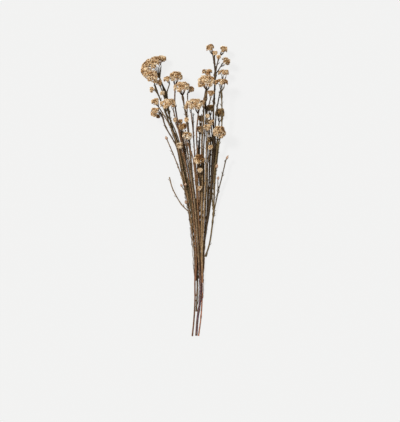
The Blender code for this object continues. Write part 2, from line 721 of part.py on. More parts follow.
def meshFrom(bm):
    """The bmesh, facing out, as a mesh in metres."""
    bmesh.ops.recalc_face_normals(bm, faces=bm.faces)
    bmesh.ops.scale(bm, vec=(mm, mm, mm), verts=bm.verts)
    mesh = bpy.data.meshes.new("piece")
    bm.to_mesh(mesh)
    bm.free()
    return mesh


def addRing(bm, centre, side, up, radius, sides, slant=None):
    ring = []
    for k in range(sides):
        turn = (k + 0.5) * 2 * math.pi / sides - math.pi / 2
        place = centre + side * radius * math.cos(turn) + up * radius * math.sin(turn)
        if slant is not None:
            place = place + slant * radius * math.cos(turn)
        ring.append(bm.verts.new(place))
    return ring


def joinRings(bm, below, above):
    for k in range(len(below)):
        bm.faces.new((below[k - 1], below[k], above[k], above[k - 1]))


def closeTip(bm, ring, place):
    tip = bm.verts.new(place)
    for k in range(len(ring)):
        bm.faces.new((ring[k - 1], ring[k], tip))


def tubeMesh(points, radii, sides, slant=0.0):
    """A closed tube round these points. slant leans its first end, as a cut made at an angle leaves it."""
    bm = bmesh.new()
    steps = np.diff(points, axis=0)
    steps /= np.linalg.norm(steps, axis=1, keepdims=True)
    tangents = np.vstack([steps[0], (steps[1:] + steps[:-1]) / 2, steps[-1]])
    up = np.array([0.0, 0.0, 1.0]) if abs(tangents[0][2]) < 0.9 else np.array([0.0, 1.0, 0.0])
    rings = []
    for k, (point, tangent, radius) in enumerate(zip(points, tangents, radii)):
        tangent = tangent / np.linalg.norm(tangent)
        up = up - tangent * up.dot(tangent)
        up /= np.linalg.norm(up)
        side = np.cross(tangent, up)
        lean = tangent * slant if k == 0 and slant else None
        rings.append(addRing(bm, point, side, up, radius, sides, lean))
    for below, above in zip(rings, rings[1:]):
        joinRings(bm, below, above)
    bm.faces.new(rings[0])
    bm.faces.new(rings[-1])
    return meshFrom(bm)


def addBoolean(obj, operation, other):
    """Joins or cuts the object. The meshes are many and all closed, as the MANIFOLD solver wants them."""
    boolean = obj.modifiers.new(operation, "BOOLEAN")
    boolean.operation = operation
    boolean.solver = "MANIFOLD"
    if isinstance(other, bpy.types.Collection):
        boolean.operand_type = "COLLECTION"
        boolean.collection = other
    else:
        boolean.object = other


def fuse(name, body, others, material, flatten):
    """One object: the body mesh joined with the others and, where it lies on the surface, cut off flat."""
    scene = bpy.context.scene.collection
    whole = bpy.data.objects.new(name, body)
    scene.objects.link(whole)
    loose = bpy.data.collections.new(name + " loose")
    for mesh in others:
        loose.objects.link(bpy.data.objects.new("loose", mesh))
    if others:
        addBoolean(whole, "UNION", loose)
    if flatten:
        bm = bmesh.new()
        bmesh.ops.create_cube(bm, size=2000, matrix=Matrix.Translation((0, 0, -1000)))
        below = bpy.data.objects.new("below", meshFrom(bm))
        scene.objects.link(below)
        addBoolean(whole, "DIFFERENCE", below)
    bpy.context.view_layer.update()
    graph = bpy.context.evaluated_depsgraph_get()
    joined = bpy.data.meshes.new_from_object(whole.evaluated_get(graph))
    whole.modifiers.clear()
    whole.data = joined
    joined.materials.clear()
    joined.materials.append(material)
    for obj in list(loose.objects):
        bpy.data.objects.remove(obj)
    bpy.data.collections.remove(loose)
    if flatten:
        bpy.data.objects.remove(below)


def stubMesh(root, along, lean, length, radius):
    """A stub of a leaf: a thin three-sided blade with its root inside the stem."""
    turn = math.radians(lean)
    out = np.array([math.cos(turn), math.sin(turn), 0.35])
    out /= np.linalg.norm(out)
    way = out * 0.6 + along * 0.8
    way /= np.linalg.norm(way)
    points = np.array([root, root + out * (radius + 0.6), root + out * radius + way * length])
    return tubeMesh(points, (0.9, 0.8, 0.45), stalkSides)


def makeStem(layout, stem):
    """One woody stem with its runs, the stalks under its heads and its leaf stubs."""
    spec = stems[stem]
    tubes = []
    for run, wood in spec["runs"].items():
        ids = layout.rings[stem, run]
        radii = np.linspace(*wood["radii"], len(ids))
        if run == "main":
            tubes.append(tubeMesh(layout.points[ids], radii, stemSides, cutSlant))
        else:
            tubes.append(tubeMesh(layout.points[ids], radii, twigSides))
    for ids in layout.stalks.get(stem, ()):
        tubes.append(tubeMesh(layout.points[list(ids)], (stalkRadius,) * 3, stalkSides))
    for owner, run, share, lean, length in stubs:
        if owner == stem:
            ids = layout.rings[stem, run]
            k = int(share * (len(ids) - 1))
            along = layout.points[ids[k + 1]] - layout.points[ids[k]]
            along /= np.linalg.norm(along)
            radius = np.linspace(*spec["runs"][run]["radii"], len(ids))[k]
            tubes.append(stubMesh(layout.points[ids[k]], along, lean, length, radius))
    material = makeMaterial(stem + " wood", spec["tone"], 0.75)
    fuse(stem, tubes[0], tubes[1:], material, stem in restingStems)


def coreMesh(name, base, frame):
    """The smaller core that the florets of a head stand out of: a dome with a flat underside."""
    shape = domeShape(name)
    wide, radius = shape[0], shape[3]
    across, over, along = frame
    sides = 9 if wide > 9 else 6
    bm = bmesh.new()
    rings = []
    # The rims of the flat underside, of the dome and of its cap: tilt, and share of width and of height.
    for tilt, spread, height in ((90, 0.8, 0), (90, 1, 1), (45, 1, 1)):
        ring = []
        for k in range(sides):
            turn = k * 2 * math.pi / sides
            place = domePoint(shape, math.radians(tilt), turn) * (spread, spread, height)
            place[:2] += np.array([math.cos(turn), math.sin(turn)]) * radius * 0.1
            ring.append(bm.verts.new(base + across * place[0] + over * place[1] + along * place[2]))
        rings.append(ring)
    for below, above in zip(rings, rings[1:]):
        joinRings(bm, below, above)
    closeTip(bm, rings[-1], base + along * domePoint(shape, 0, 0)[2])
    bm.faces.new(rings[0])
    return meshFrom(bm)


def floretMesh(place, outward, radius, turn):
    """A floret as a five-sided bud that widens from its sunk root and closes to a point."""
    direction = Vector(outward)
    across = direction.orthogonal().normalized()
    side = np.array(across) * math.cos(turn) + np.array(direction.cross(across)) * math.sin(turn)
    bm = bmesh.new()
    belt = addRing(bm, place + outward * radius * 0.25, side, np.cross(outward, side), radius, floretSides)
    closeTip(bm, belt, place + outward * radius * 0.95)
    closeTip(bm, belt, place - outward * radius * 1.3)
    return meshFrom(bm)


def makeHead(layout, name, materials):
    """One flower head: its florets on a core."""
    facing, lift, tone = heads[name][2:]
    frame = frameOf(facing, lift)
    across, over, along = frame
    base = layout.points[layout.seats[name]]
    draw = random.Random(name + "turns")
    florets = []
    for place, outward, radius in floretPlaces(name):
        centre = base + across * place[0] + over * place[1] + along * place[2]
        direction = across * outward[0] + over * outward[1] + along * outward[2]
        florets.append(floretMesh(centre, direction, radius, draw.uniform(0, 1.2)))
    fuse(name, coreMesh(name, base, frame), florets, materials[tone], name in restingHeads)


def makeBud(layout, name, materials):
    """A single closed bud: widest a third of the way up, with a flat seat and a blunt tip."""
    seat, (length, width), facing, lift = buds[name]
    across, over, along = frameOf(facing, lift)
    seat = layout.points[layout.seats[name]]
    bm = bmesh.new()
    rings = []
    for share, reach in ((0, 0.36), (0.3, 1.0), (0.65, 0.85)):
        rings.append(addRing(bm, seat + along * length * share, across, over, width / 2 * reach, 6))
    for below, above in zip(rings, rings[1:]):
        joinRings(bm, below, above)
    closeTip(bm, rings[-1], seat + along * length)
    bm.faces.new(rings[0])
    fuse(name, meshFrom(bm), [], materials["bud"], False)


def main():
    clearScene()
    layout = Layout()
    layout.fill()
    air = layout.settle(settleTurns)
    print(f"least air is {air:.2f} mm")
    materials = {tone: makeMaterial("florets " + tone, colour, 0.9) for tone, colour in tones.items()}
    for stem in stems:
        makeStem(layout, stem)
    for name in heads:
        makeHead(layout, name, materials)
    for name in buds:
        makeBud(layout, name, materials)


main()
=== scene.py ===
# A bunch of dried rice flower, lying on a pale floor and seen from above.
# Nine woody stems fork into thin stalks under domed heads of small papery florets.
# Lengths in the tables are millimetres, everything that is built is in metres.

import json
import math
import random

import bmesh
import bpy
import numpy as np
from mathutils import Matrix, Vector, noise


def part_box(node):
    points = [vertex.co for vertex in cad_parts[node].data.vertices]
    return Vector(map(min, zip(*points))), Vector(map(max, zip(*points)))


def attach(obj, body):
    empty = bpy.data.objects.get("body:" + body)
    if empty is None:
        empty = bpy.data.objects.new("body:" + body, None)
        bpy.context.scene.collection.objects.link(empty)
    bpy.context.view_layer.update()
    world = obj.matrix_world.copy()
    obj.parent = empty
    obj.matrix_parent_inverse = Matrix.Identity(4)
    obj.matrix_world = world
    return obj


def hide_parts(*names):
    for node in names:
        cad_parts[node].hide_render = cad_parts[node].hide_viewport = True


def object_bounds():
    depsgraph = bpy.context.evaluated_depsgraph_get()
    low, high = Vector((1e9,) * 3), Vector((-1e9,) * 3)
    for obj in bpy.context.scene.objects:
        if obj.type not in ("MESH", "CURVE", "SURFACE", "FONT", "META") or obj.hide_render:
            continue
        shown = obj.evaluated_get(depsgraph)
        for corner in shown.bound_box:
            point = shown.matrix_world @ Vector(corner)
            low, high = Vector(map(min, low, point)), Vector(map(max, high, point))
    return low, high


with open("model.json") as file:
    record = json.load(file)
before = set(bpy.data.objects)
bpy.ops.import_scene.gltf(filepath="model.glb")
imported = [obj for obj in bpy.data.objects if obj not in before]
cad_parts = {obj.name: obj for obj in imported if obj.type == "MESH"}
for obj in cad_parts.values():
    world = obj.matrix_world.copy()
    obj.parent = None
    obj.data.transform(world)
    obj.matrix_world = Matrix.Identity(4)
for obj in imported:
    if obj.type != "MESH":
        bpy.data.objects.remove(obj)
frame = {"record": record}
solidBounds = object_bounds()
mm = 0.001
golden = math.radians(137.508)
anyTurn = (0, 6)  # radians, for what may be turned any way round

clearance = 0.3  # between a stalk's end and the head that it carries
spacing = 0.5  # least air between two pieces that lie side by side
trim = 0.4  # how much is cut off flat where a piece lies on the surface

# The wood.
stalkRadius = 0.8
flatShare = 0.87  # of a six-sided stem's radius, from its middle to a flat side
ringStep = 35.0  # along a stem, from one ring of its mesh to the next
longRun = 110.0  # shorter runs have their rings closer together
shortStep = 24.0
curveSteps = 12  # in the curve between two places of a route
riseStart = -110.0  # where stems leave the narrow neck and start to rise to the height of their heads

# The forks under the heads.
stalkCounts = ((44, 6), (30, 4), (20, 3), (14, 2), (0, 1))  # least width of the head, number of stalks
stalkReach = 0.55  # how far out on the head's underside they meet it, as a share of its half width
stalkEnd = 2.5  # the last stretch of a stalk, straight into the head
forkDepth = 0.4  # how far below the head they part, as a share of its width
lobeFork = 9.0  # the same for a second run under a head
lobeStalks = (-2.5, 2.5)  # its two stalks, aside from it
firstStalk = 2.4  # the turn of the first one under a head
seatStep = 4.0  # the last stretch of a run that ends in a head or bud without stalks

# The florets, larger than life. Least width of a head, and the radius of its florets.
floretSizes = ((50, 6.0), (28, 5.2), (18, 4.6), (12, 4.0), (0, 3.4))
floretShare = 2.55  # area of the dome that one floret covers, in squares of its radius
upright = 0.25  # how much florets lean towards the middle of their head
lowestDome = 0.6
domeSteps = 60  # in the sum of its area
floretTurn = 0.12  # how unevenly they are wound round the dome
floretSpread = (0.9, 1.04)  # of their radius
outlineWaves = ((2, 0.09), (3, 0.07))  # waves round a head's outline, and their share of its radius

# How the bunch settles.
settleTurns = 160
eagerness = 1.3
firstEasing = 0.25
lastEasing = 0.06
easeUntil = 0.7
lookAround = 6.5
lookEvery = 8  # turns
underside = (-0.6, 0, 0.6)  # where balls keep a head's underside clear, as shares of its half width
undersideBall = 0.8  # their radius, against a floret's

# Each head: its middle, its width, depth and height, the way its dome faces in plan (degrees from +X),
# how far it is lifted towards straight up (degrees), and its tone.
heads = {
    "head_01": ((-66, 256, 24), (60, 42, 23), 115, 14, "cream"),
    "head_02": ((-72, 231, 45), (41, 30, 17), 235, 72, "cream"),
    "head_03": ((-54, 217, 34), (17, 14, 12), 110, 40, "cream"),
    "head_04": ((-68, 203, 20), (15, 12, 12), 170, 20, "cream"),
    "head_05": ((-20, 230, 30), (31, 29, 20), 85, 30, "cream"),
    "head_06": ((-38, 223, 40), (18, 14, 12), 120, 35, "cream"),
    "head_07": ((-8.5, 208, 44), (36, 31, 19), 95, 40, "cream"),
    "head_08": ((-47, 195, 34), (12, 11, 10), 130, 50, "pale"),
    "head_09": ((-35, 175, 43), (39, 27, 17), 92, 40, "cream"),
    "head_10": ((-63, 158, 28), (25, 20, 17), 165, 35, "cream"),
    "head_11": ((-56, 149, 12), (11, 10, 10), 240, 10, "tan"),
    "head_12": ((18, 174, 42), (43, 32, 20), 90, 40, "cream"),
    "head_13": ((1, 142, 44), (12, 11, 11), 90, 45, "cream"),
    "head_14": ((-11, 138, 26), (12, 11, 11), 95, 30, "tan"),
    "head_15": ((-22, 142, 40), (10, 9, 12), 100, 30, "cream"),
    "head_16": ((-8, 129, 30), (22, 18, 16), 100, 20, "tan"),
    "head_17": ((4, 110, 46), (26, 20, 15), 80, 50, "pale"),
    "head_18": ((-13, 91, 38), (17, 15, 15), 110, 45, "pale"),
    "head_19": ((30, 146, 13), (20, 16, 18), 85, 20, "tan"),
    "head_20": ((27, 125, 14), (18, 15, 15), 95, 20, "tan"),
    "head_21": ((48, 104, 16), (15, 13, 16), 85, 20, "olive"),
    "head_22": ((31, 64, 34), (27, 22, 22), 95, 38, "tan"),
    "head_23": ((28, 42, 28), (15, 12, 10), 90, 40, "cream"),
    "head_24": ((24, 6, 20), (12, 10, 13), 85, 35, "pale"),
    "head_25": ((45, 88, 34), (12, 11, 11), 80, 40, "cream"),
    "head_26": ((48, 286, 30), (22, 19, 15), 112, 20, "cream"),
    "head_27": ((76, 284, 22), (21, 18, 15), 60, 12, "cream"),
    "head_28": ((65, 267, 40), (12, 11, 10), 80, 30, "cream"),
    "head_29": ((82, 258, 26), (21, 19, 17), 45, 20, "cream"),
    "head_30": ((43, 238, 20), (29, 21, 14), 95, 20, "cream"),
    "head_31": ((42, 219, 44), (43, 32, 20), 95, 45, "cream"),
    "head_32": ((74, 240, 22), (27, 19, 15), 80, 12, "cream"),
    "head_33": ((71, 217, 42), (33, 23, 15), 85, 18, "cream"),
    "head_34": ((50, 196, 36), (18, 15, 15), 85, 40, "cream"),
    "head_35": ((44, 150, 38), (11, 10, 10), 90, 40, "cream"),
    "head_36": ((46, 166, 12), (20, 16, 18), 95, 15, "olive"),
    "head_37": ((63, 158, 11), (24, 18, 22), 85, 5, "olive"),
    "head_38": ((48, 138, 26), (20, 16, 15), 80, 30, "cream"),
    "head_39": ((43, 127, 44), (20, 16, 15), 100, 40, "cream"),
    "head_40": ((66, 120, 38), (29, 24, 28), 80, 45, "cream"),
    "head_41": ((57, 276, 30), (13, 12, 10), 80, 30, "cream"),
    "head_42": ((11, 203, 34), (16, 13, 12), 45, 30, "cream"),
    "head_43": ((-61, 179, 32), (22, 17, 14), 120, 40, "cream"),
}
# Heads that two runs carry: how far aside the first one's fork is, as a share of the half width.
sharedHeads = {"head_09": -0.3, "head_12": 0.3}
restingHeads = ("head_01", "head_37")  # they reach the surface

# Each bud: its seat, its length and width, the way it points in plan and its lift.
buds = {
    "bud_1": ((-38, 103, 30), (8, 6), 112, 30),
    "bud_2": ((-8, 9, 13), (7, 5), 118, 30),
    "bud_3": ((-1, 11, 15), (7, 5), 85, 40),
    "bud_4": ((1, -25, 13), (9, 6), 115, 40),
    "bud_5": ((60, 46, 22), (11, 6), 80, 30),
    "bud_6": ((81, 64, 20), (9, 5), 65, 20),
    "bud_7": ((64, 23, 20), (8, 5), 85, 30),
}


# A run of wood: the run that it leaves, its radii at root and tip, its end, and its way in plan, as x and y
# of one place after the other.
def branch(start, radii, end, *way):
    return {"start": start, "radii": radii, "end": end, "route": list(zip(way[::2], way[1::2]))}


# The runs of each stem, which go from the cut end up. "main" is the first, and every other run leaves one
# named before it.
stems = {
    "stem_1": {
        "main": branch(
            None, (1.6, 1.4), "head_10", 12.6, -291.5, 17.6, -238, 18, -198, 18, -144, 15.5, -104, 11, -68,
            6.5, -32, 1, -8, -4, 14, -11, 52, -16, 82, -28, 106, -38, 124, -46, 138,
        ),
        "lobe": branch(
            "main", (1.3, 1.2), "head_43", 15, -112, 12, -68, 6, -24, -1, 18, -9, 56, -15, 90, -24, 112,
            -34, 134, -46, 156,
        ),
        "brown": branch("main", (0.8, 0.8), "head_11", -41, 128, -47, 139),
        "side": branch("main", (1.3, 1.1), "bud_1", -4, 14, -10, 34, -16, 50, -22, 66, -29, 82),
        "bare": branch(
            "main", (1.2, 1.2), (-33.4, 28, 12), 8.5, -48, 2, -41, -7, -29, -14, -18, -22, -6, -28, 8,
            -31, 16,
        ),
        "budded": branch("main", (0.8, 0.8), "bud_2", 1, -8, -3.5, 0),
        "buddedRight": branch("main", (0.8, 0.8), "bud_3", -1, -2, -1, 3),
        "low": branch("main", (0.8, 0.8), "bud_4", 7, -42, 4, -34),
        "back": branch("main", (1.2, 1.0), (-22, 116, 14), 14, -96, 9, -60, 2.5, -12, -5, 36, -12, 78),
    },
    "stem_2": {
        "main": branch(
            None, (1.7, 1.6), "head_01", 19, -242, 21.4, -198, 21.4, -144, 19.2, -104, 15.2, -68, 11, -32,
            5.5, 2, -2, 38, -9, 72, -15, 94, -24, 118, -30, 136, -34, 158, -38, 184, -44, 204, -52, 224,
        ),
        "left": branch(
            "main", (1.6, 1.3), "head_02", 20, -128, 17, -92, 10, -40, 4, -4, -5, 40, -13, 76, -22, 104,
            -33, 134, -43, 160, -52, 184, -61, 206,
        ),
        "leftLow": branch("left", (0.8, 0.8), "head_04", -52, 184, -59, 194),
        "middle": branch("main", (1.3, 1.1), "head_03", -36, 170, -45, 192, -51, 206),
        "right": branch("main", (1.3, 1.1), "head_06", -34, 158, -36, 184, -38, 206),
        "lobe": branch(
            "main", (1.5, 1.3), "head_09", 16, -72, 10, -20, 2, 26, -6, 66, -13, 96, -21, 118, -28, 136,
        ),
        "front": branch("main", (0.8, 0.8), "head_08", -34, 158, -41, 182),
        "back": branch("main", (1.2, 1.0), (-13, 138, 12), 18, -96, 14, -52, 8, 0, 1.5, 50, -6, 98),
    },
    "stem_3": {
        "main": branch(
            None, (1.9, 1.4), "head_05", 19, -180, 20.8, -142, 19.8, -104, 17.4, -62, 14.8, -28, 9.6, 6,
            3, 42, -3, 72, -7, 96, -12, 118, -17, 142, -21, 168, -24, 188, -24, 204,
        ),
        "lobe": branch(
            "main", (1.3, 1.2), ("head_09", 9), 20, -118, 17, -66, 12, -14, 4, 34, -4, 70, -11, 104, -17, 130,
            -22, 152,
        ),
        "small": branch("main", (0.8, 0.8), "head_15", -9, 104, -16, 124),
        "pale": branch("main", (1.3, 1.1), "head_18", 8, 10, 3, 40, -6, 72),
        "back": branch("main", (1.2, 1.0), (-1, 122, 16), 18.6, -84, 15.5, -40, 11, 10, 6, 58, 2, 96),
    },
    "stem_4": {
        "main": branch(
            None, (2.4, 1.6), "head_07", 20.6, -290.5, 24, -246, 29.2, -212, 28.8, -184, 26.2, -142, 25, -104,
            22.4, -62, 20, -28, 16, 6, 12, 42, 9, 78, 8, 102, 6, 120, 2, 142, -2, 162, -6, 182,
        ),
        "brown": branch(
            "main", (1.8, 1.3), "head_16", 25.6, -128, 22, -84, 17.6, -28, 12.6, 6, 8, 42, 2, 78, -4, 104,
        ),
        "left": branch("brown", (1.2, 1.2), "head_14", 16, -16, 9, 24, 2, 62, -4, 96, -9, 122),
        "front": branch("main", (1.3, 1.1), "head_13", 11, 52, 8, 90, 4, 124),
        "rightLobe": branch("main", (1.3, 1.1), "head_42", 4, 132, 2, 160, 4, 184),
    },
    "stem_5": {
        "main": branch(
            None, (1.4, 1.4), "head_12", 25, -291, 29, -262, 30.6, -236, 32.2, -212, 31.6, -180, 28, -142,
            26.8, -104, 26, -62, 25.2, -28, 24, 6, 23.4, 42, 22.4, 82, 21.4, 106, 21.6, 130,
        ),
        "left": branch(
            "main", (1.3, 1.2), ("head_12", -8), 26, -64, 24, -20, 21.6, 14, 19, 50, 16, 88, 14, 120, 11, 144,
        ),
        "pale": branch(
            "main", (1.5, 1.3), "head_17", 28.6, -132, 26, -84, 22.6, -28, 20.4, 6, 17, 42, 11, 80,
        ),
        "front": branch("main", (0.8, 0.8), "head_24", 25.6, -52, 25, -20),
    },
    "stem_6": {
        "main": branch(
            None, (2.2, 1.6), "head_31", 33, -184, 32, -142, 31.6, -104, 31.6, -62, 32, -28, 33, 6, 33, 42,
            32, 82, 34, 112, 36, 134, 37, 156, 37, 176, 36, 190,
        ),
        "behind": branch(
            "main", (1.5, 1.3), "head_30", 31.6, -104, 32, -56, 34.5, -14, 35.5, 20, 36, 52, 35, 88, 38, 124,
            40, 160, 37, 190, 40, 216,
        ),
        "right": branch("main", (1.2, 1.2), "head_34", 32, -28, 34, 12, 34, 56, 36, 100, 40, 136, 43, 172),
        "rose": branch(
            "main", (1.7, 1.3), "head_39", 32, -136, 34, -88, 37, -28, 38.4, 6, 39.4, 42, 41, 76, 42, 104,
        ),
        "roseLow": branch("rose", (0.8, 0.8), "head_25", 38.6, 16, 41, 48, 44, 72),
        "back": branch("main", (1.2, 1.0), (31.5, 154, 22), 31.6, -84, 30, -40, 30, 10, 30.5, 60, 31.5, 108),
    },
    "stem_7": {
        "main": branch(
            None, (1.6, 1.6), "head_40", 37.6, -132, 40, -120, 46, -103, 50, -86, 52.6, -62, 55, -32, 55.4, 2,
            56, 42, 59, 62, 62, 82,
        ),
        "behind": branch(
            "main", (1.5, 1.3), "head_33", 52, -64, 55, -24, 57, 20, 61, 60, 65, 96, 70, 128, 70, 150,
            71, 174, 72, 192,
        ),
        "side": branch(
            "main", (1.2, 1.2), "bud_6", 54, -50, 58, -40, 61, -26, 62.5, -8, 66, 14, 72, 28, 77, 44,
        ),
        "bud": branch("side", (0.8, 0.8), "bud_7", 62.5, -4, 63.5, 10),
        "budHigh": branch("main", (0.8, 0.8), "bud_5", 55.4, 10, 58, 32),
        "back": branch("main", (1.2, 1.0), (56, 148, 10), 52.6, -44, 51.4, 0, 52, 56, 54, 106),
    },
    "stem_8": {
        "main": branch(
            None, (1.9, 1.7), "head_41", 31.4, -164, 31.8, -130, 35.6, -100, 41, -58, 45, -28, 49, 6, 52, 42,
            54.6, 82, 54.4, 122, 53.6, 150, 55, 182, 56.6, 206, 57.4, 230, 57.6, 252,
        ),
        "topLeft": branch("main", (1.1, 1.0), "head_26", 57.6, 246, 55.6, 260),
        "topMiddle": branch("main", (1.1, 1.0), "head_28", 57.6, 242, 61.4, 252),
        "topRight": branch("main", (1.1, 1.0), "head_27", 57.6, 242, 62, 255, 66, 265),
        "outer": branch("main", (1.1, 1.0), "head_29", 57.4, 232, 63, 242),
        "fan": branch(
            "main", (1.5, 1.3), "head_32", 38, -84, 44, -46, 49, -4, 53, 46, 57, 96, 56, 136, 60, 168,
            64, 192, 69, 210, 72, 222,
        ),
        "olive": branch("main", (1.2, 1.2), "head_36", 45, -30, 48, 10, 50, 48, 51, 88, 50, 124, 48, 148),
        "oliveLow": branch("main", (1.2, 1.2), "head_37", 49, 6, 53, 46, 57, 88, 61, 134),
        "rose": branch(
            "main", (1.6, 1.3), "head_38", 34, -118, 38, -76, 42, -28, 44.4, 6, 46.4, 42, 48, 82, 49, 116,
        ),
        "roseLow": branch("rose", (0.9, 0.9), "head_21", 44.4, 6, 46, 48, 47.5, 84),
        "roseHigh": branch("rose", (1.3, 1.1), "head_35", 40, -50, 42, -6, 43, 42, 44, 88, 44, 136),
        "back": branch(
            "main", (1.2, 1.0), (40, 178, 14), 34, -112, 37, -60, 39.5, -10, 41, 40, 41, 90, 41.5, 134,
        ),
    },
    "stem_9": {
        "main": branch(
            None, (1.3, 1.3), "head_19", 25, -176, 24.8, -142, 24, -104, 24.6, -62, 27, -28, 28.6, 6, 28, 42,
            27, 82, 28, 122,
        ),
        "low": branch("main", (1.2, 1.2), "head_20", 28, -10, 26.4, 30, 25, 70, 25.4, 104),
        "pale": branch("main", (0.9, 0.9), "head_22", 28.6, 6, 29, 22, 30.6, 36),
        "paleLow": branch("main", (0.8, 0.8), "head_23", 26, -40, 27, -4, 28, 24),
        "back": branch(
            "main", (1.2, 1.0), (14, 156, 22), 24.4, -112, 22.5, -62, 22, -10, 19.5, 40, 17, 90, 15, 126,
        ),
        "backLeft": branch("main", (1.2, 1.0), (3, 126, 12), 24.4, -84, 19, -34, 14, 16, 9, 66, 5, 102),
    },
}
cutHeights = {  # of the middle of each main run, at its cut end and at the neck
    "stem_1": (1.5, 1.6), "stem_2": (1.7, 1.8), "stem_3": (6, 6), "stem_4": (2.1, 6.4), "stem_5": (1.3, 1.5),
    "stem_6": (6.4, 6.6), "stem_7": (1.6, 1.7), "stem_8": (1.9, 2), "stem_9": (1.4, 1.5),
}
restingStems = ("stem_1", "stem_2", "stem_4", "stem_5")  # their cut ends lie on the surface
restingLength = 60.0  # of each, from the cut end

# Stubs of stripped leaves: the stem, its run, how far along it, the way the stub leans, and its length.
stubs = (
    ("stem_1", "main", 0.385, 170, 7.0),
    ("stem_1", "main", 0.345, 165, 5.0),
    ("stem_1", "bare", 0.55, 200, 5.0),
    ("stem_1", "side", 0.60, 190, 4.0),
    ("stem_4", "main", 0.93, 300, 12.0),
    ("stem_7", "side", 0.45, 10, 5.0),
    ("stem_7", "main", 0.72, 20, 6.0),
    ("stem_8", "fan", 0.55, 10, 7.0),
    ("stem_7", "behind", 0.62, 10, 5.0),
)


# Across, over and along: unit vectors of a head or bud that faces this way.
def frameOf(facing, lift):
    turn = math.radians(facing)
    rise = math.radians(lift)
    along = np.array([math.cos(rise) * math.cos(turn), math.cos(rise) * math.sin(turn), math.sin(rise)])
    across = np.array([math.sin(turn), -math.cos(turn), 0.0])
    return across, np.cross(along, across), along


# The place that is so far across, over and along from a base.
def placeOn(base, axes, steps):
    return base + axes[0] * steps[0] + axes[1] * steps[1] + axes[2] * steps[2]


# Half axes of the dome on which a head's florets are centred, their size and the outline's waves.
def domeShape(name):
    width, depth, height = heads[name][1]
    radius = next(radius for least, radius in floretSizes if width >= least)
    tall = max(lowestDome, height - 2 * radius)
    draw = random.Random(name)
    waves = [(times, much, draw.uniform(0, 2 * math.pi)) for times, much in outlineWaves]
    return width / 2 - radius, depth / 2 - radius, tall, radius, waves


# A point of the dome, across, over and along from the middle of its flat underside.
def domePoint(shape, tilt, turn):
    wide, deep, tall, radius, waves = shape
    waved = 1 + sum(much * math.sin(times * turn + begin) for times, much, begin in waves)
    reach = math.sin(tilt) * waved
    x = wide * reach * math.cos(turn)
    y = deep * reach * math.sin(turn)
    return np.array([x, y, radius + tall * math.cos(tilt)])


# Tilts from the pole to the rim, and the area of the dome above each of them.
def domeAreas(shape):
    wide, deep, tall, _, _ = shape
    mean = math.sqrt(wide * deep)
    tilts = np.linspace(0, math.pi / 2, domeSteps)
    strips = 2 * math.pi * mean * np.sin(tilts) * np.hypot(mean * np.cos(tilts), tall * np.sin(tilts))
    return tilts, np.cumsum(strips) * (tilts[1] - tilts[0])


# (place, direction, size) of each floret of a head, wound round its dome as sunflower seeds are.
def floretPlaces(name):
    shape = domeShape(name)
    radius = shape[3]
    tilts, areas = domeAreas(shape)
    count = max(3, round(areas[-1] / (floretShare * radius**2)))
    draw = random.Random(name + "florets")
    places = []
    for i in range(count):
        tilt = np.interp((i + 0.5) / count * areas[-1], areas, tilts)
        turn = i * golden + draw.uniform(-floretTurn, floretTurn)
        lean = math.sin(tilt)
        outward = np.array([lean * math.cos(turn), lean * math.sin(turn), upright + math.cos(tilt)])
        outward /= np.linalg.norm(outward)
        places.append((domePoint(shape, tilt, turn), outward, radius * draw.uniform(*floretSpread)))
    return places


def lengthsAlong(points):
    return np.concatenate([[0], np.cumsum(np.linalg.norm(np.diff(points, axis=0), axis=1))])


# Points about this far apart on a smooth curve through these ones, with one wherever a run leaves.
def smoothRoute(points, step, keep):
    points = np.array(points, float)
    padded = np.vstack([2 * points[0] - points[1], points, 2 * points[-1] - points[-2]])
    fine = []
    for i in range(len(points) - 1):
        p, q, r, s = padded[i : i + 4]
        for t in np.linspace(0, 1, curveSteps, endpoint=False):
            bend = 2 * p - 5 * q + 4 * r - s
            fine.append(q + 0.5 * t * (r - p + t * (bend + t * (3 * (q - r) + s - p))))
    fine.append(points[-1])
    fine = np.array(fine)
    lengths = lengthsAlong(fine)
    wanted = np.linspace(0, lengths[-1], max(2, round(lengths[-1] / step) + 1))
    for spot in keep:
        there = lengths[np.argmin(np.linalg.norm(fine[:, :2] - spot, axis=1))]
        if len(wanted) > 2:
            wanted[1 + np.argmin(np.abs(wanted[1:-1] - there))] = there
    wanted.sort()
    return np.stack([np.interp(wanted, lengths, fine[:, k]) for k in range(3)], axis=1)


# Where stalks meet a head's flat underside, across and over from its middle; none if the run does.
def stalkTips(name):
    count = next(count for least, count in stalkCounts if heads[name][1][0] >= least)
    if count == 1:
        return []
    wide, deep = domeShape(name)[:2]
    aside = sharedHeads.get(name, 0)
    reach = stalkReach - abs(aside) * 2 / 3
    turns = [firstStalk + i * 2 * math.pi / count for i in range(count)]
    return [(wide * (reach * math.cos(turn) + aside), deep * stalkReach * math.sin(turn)) for turn in turns]


# From 0 to 1 with a level start and end.
def rising(t):
    t = min(1, max(0, t))
    return t * t * (3 - 2 * t)


# Points of a main run: nearly level from its cut end to the neck, then up to the height of its tip.
def mainHeights(way, tip, heights):
    cut, neck = heights
    placed = []
    for x, y in way:
        if y < riseStart:
            z = cut + (neck - cut) * (y - way[0][1]) / (riseStart - way[0][1])
        else:
            z = neck + (tip - neck) * rising((y - riseStart) / (way[-1][1] - riseStart))
        placed.append((x, y, z))
    return placed


# Points of a run that leaves another one at the height root.
def sideHeights(way, tip, root):
    gone = lengthsAlong(way)
    return [(x, y, root + (tip - root) * rising(far / gone[-1])) for (x, y), far in zip(way, gone)]


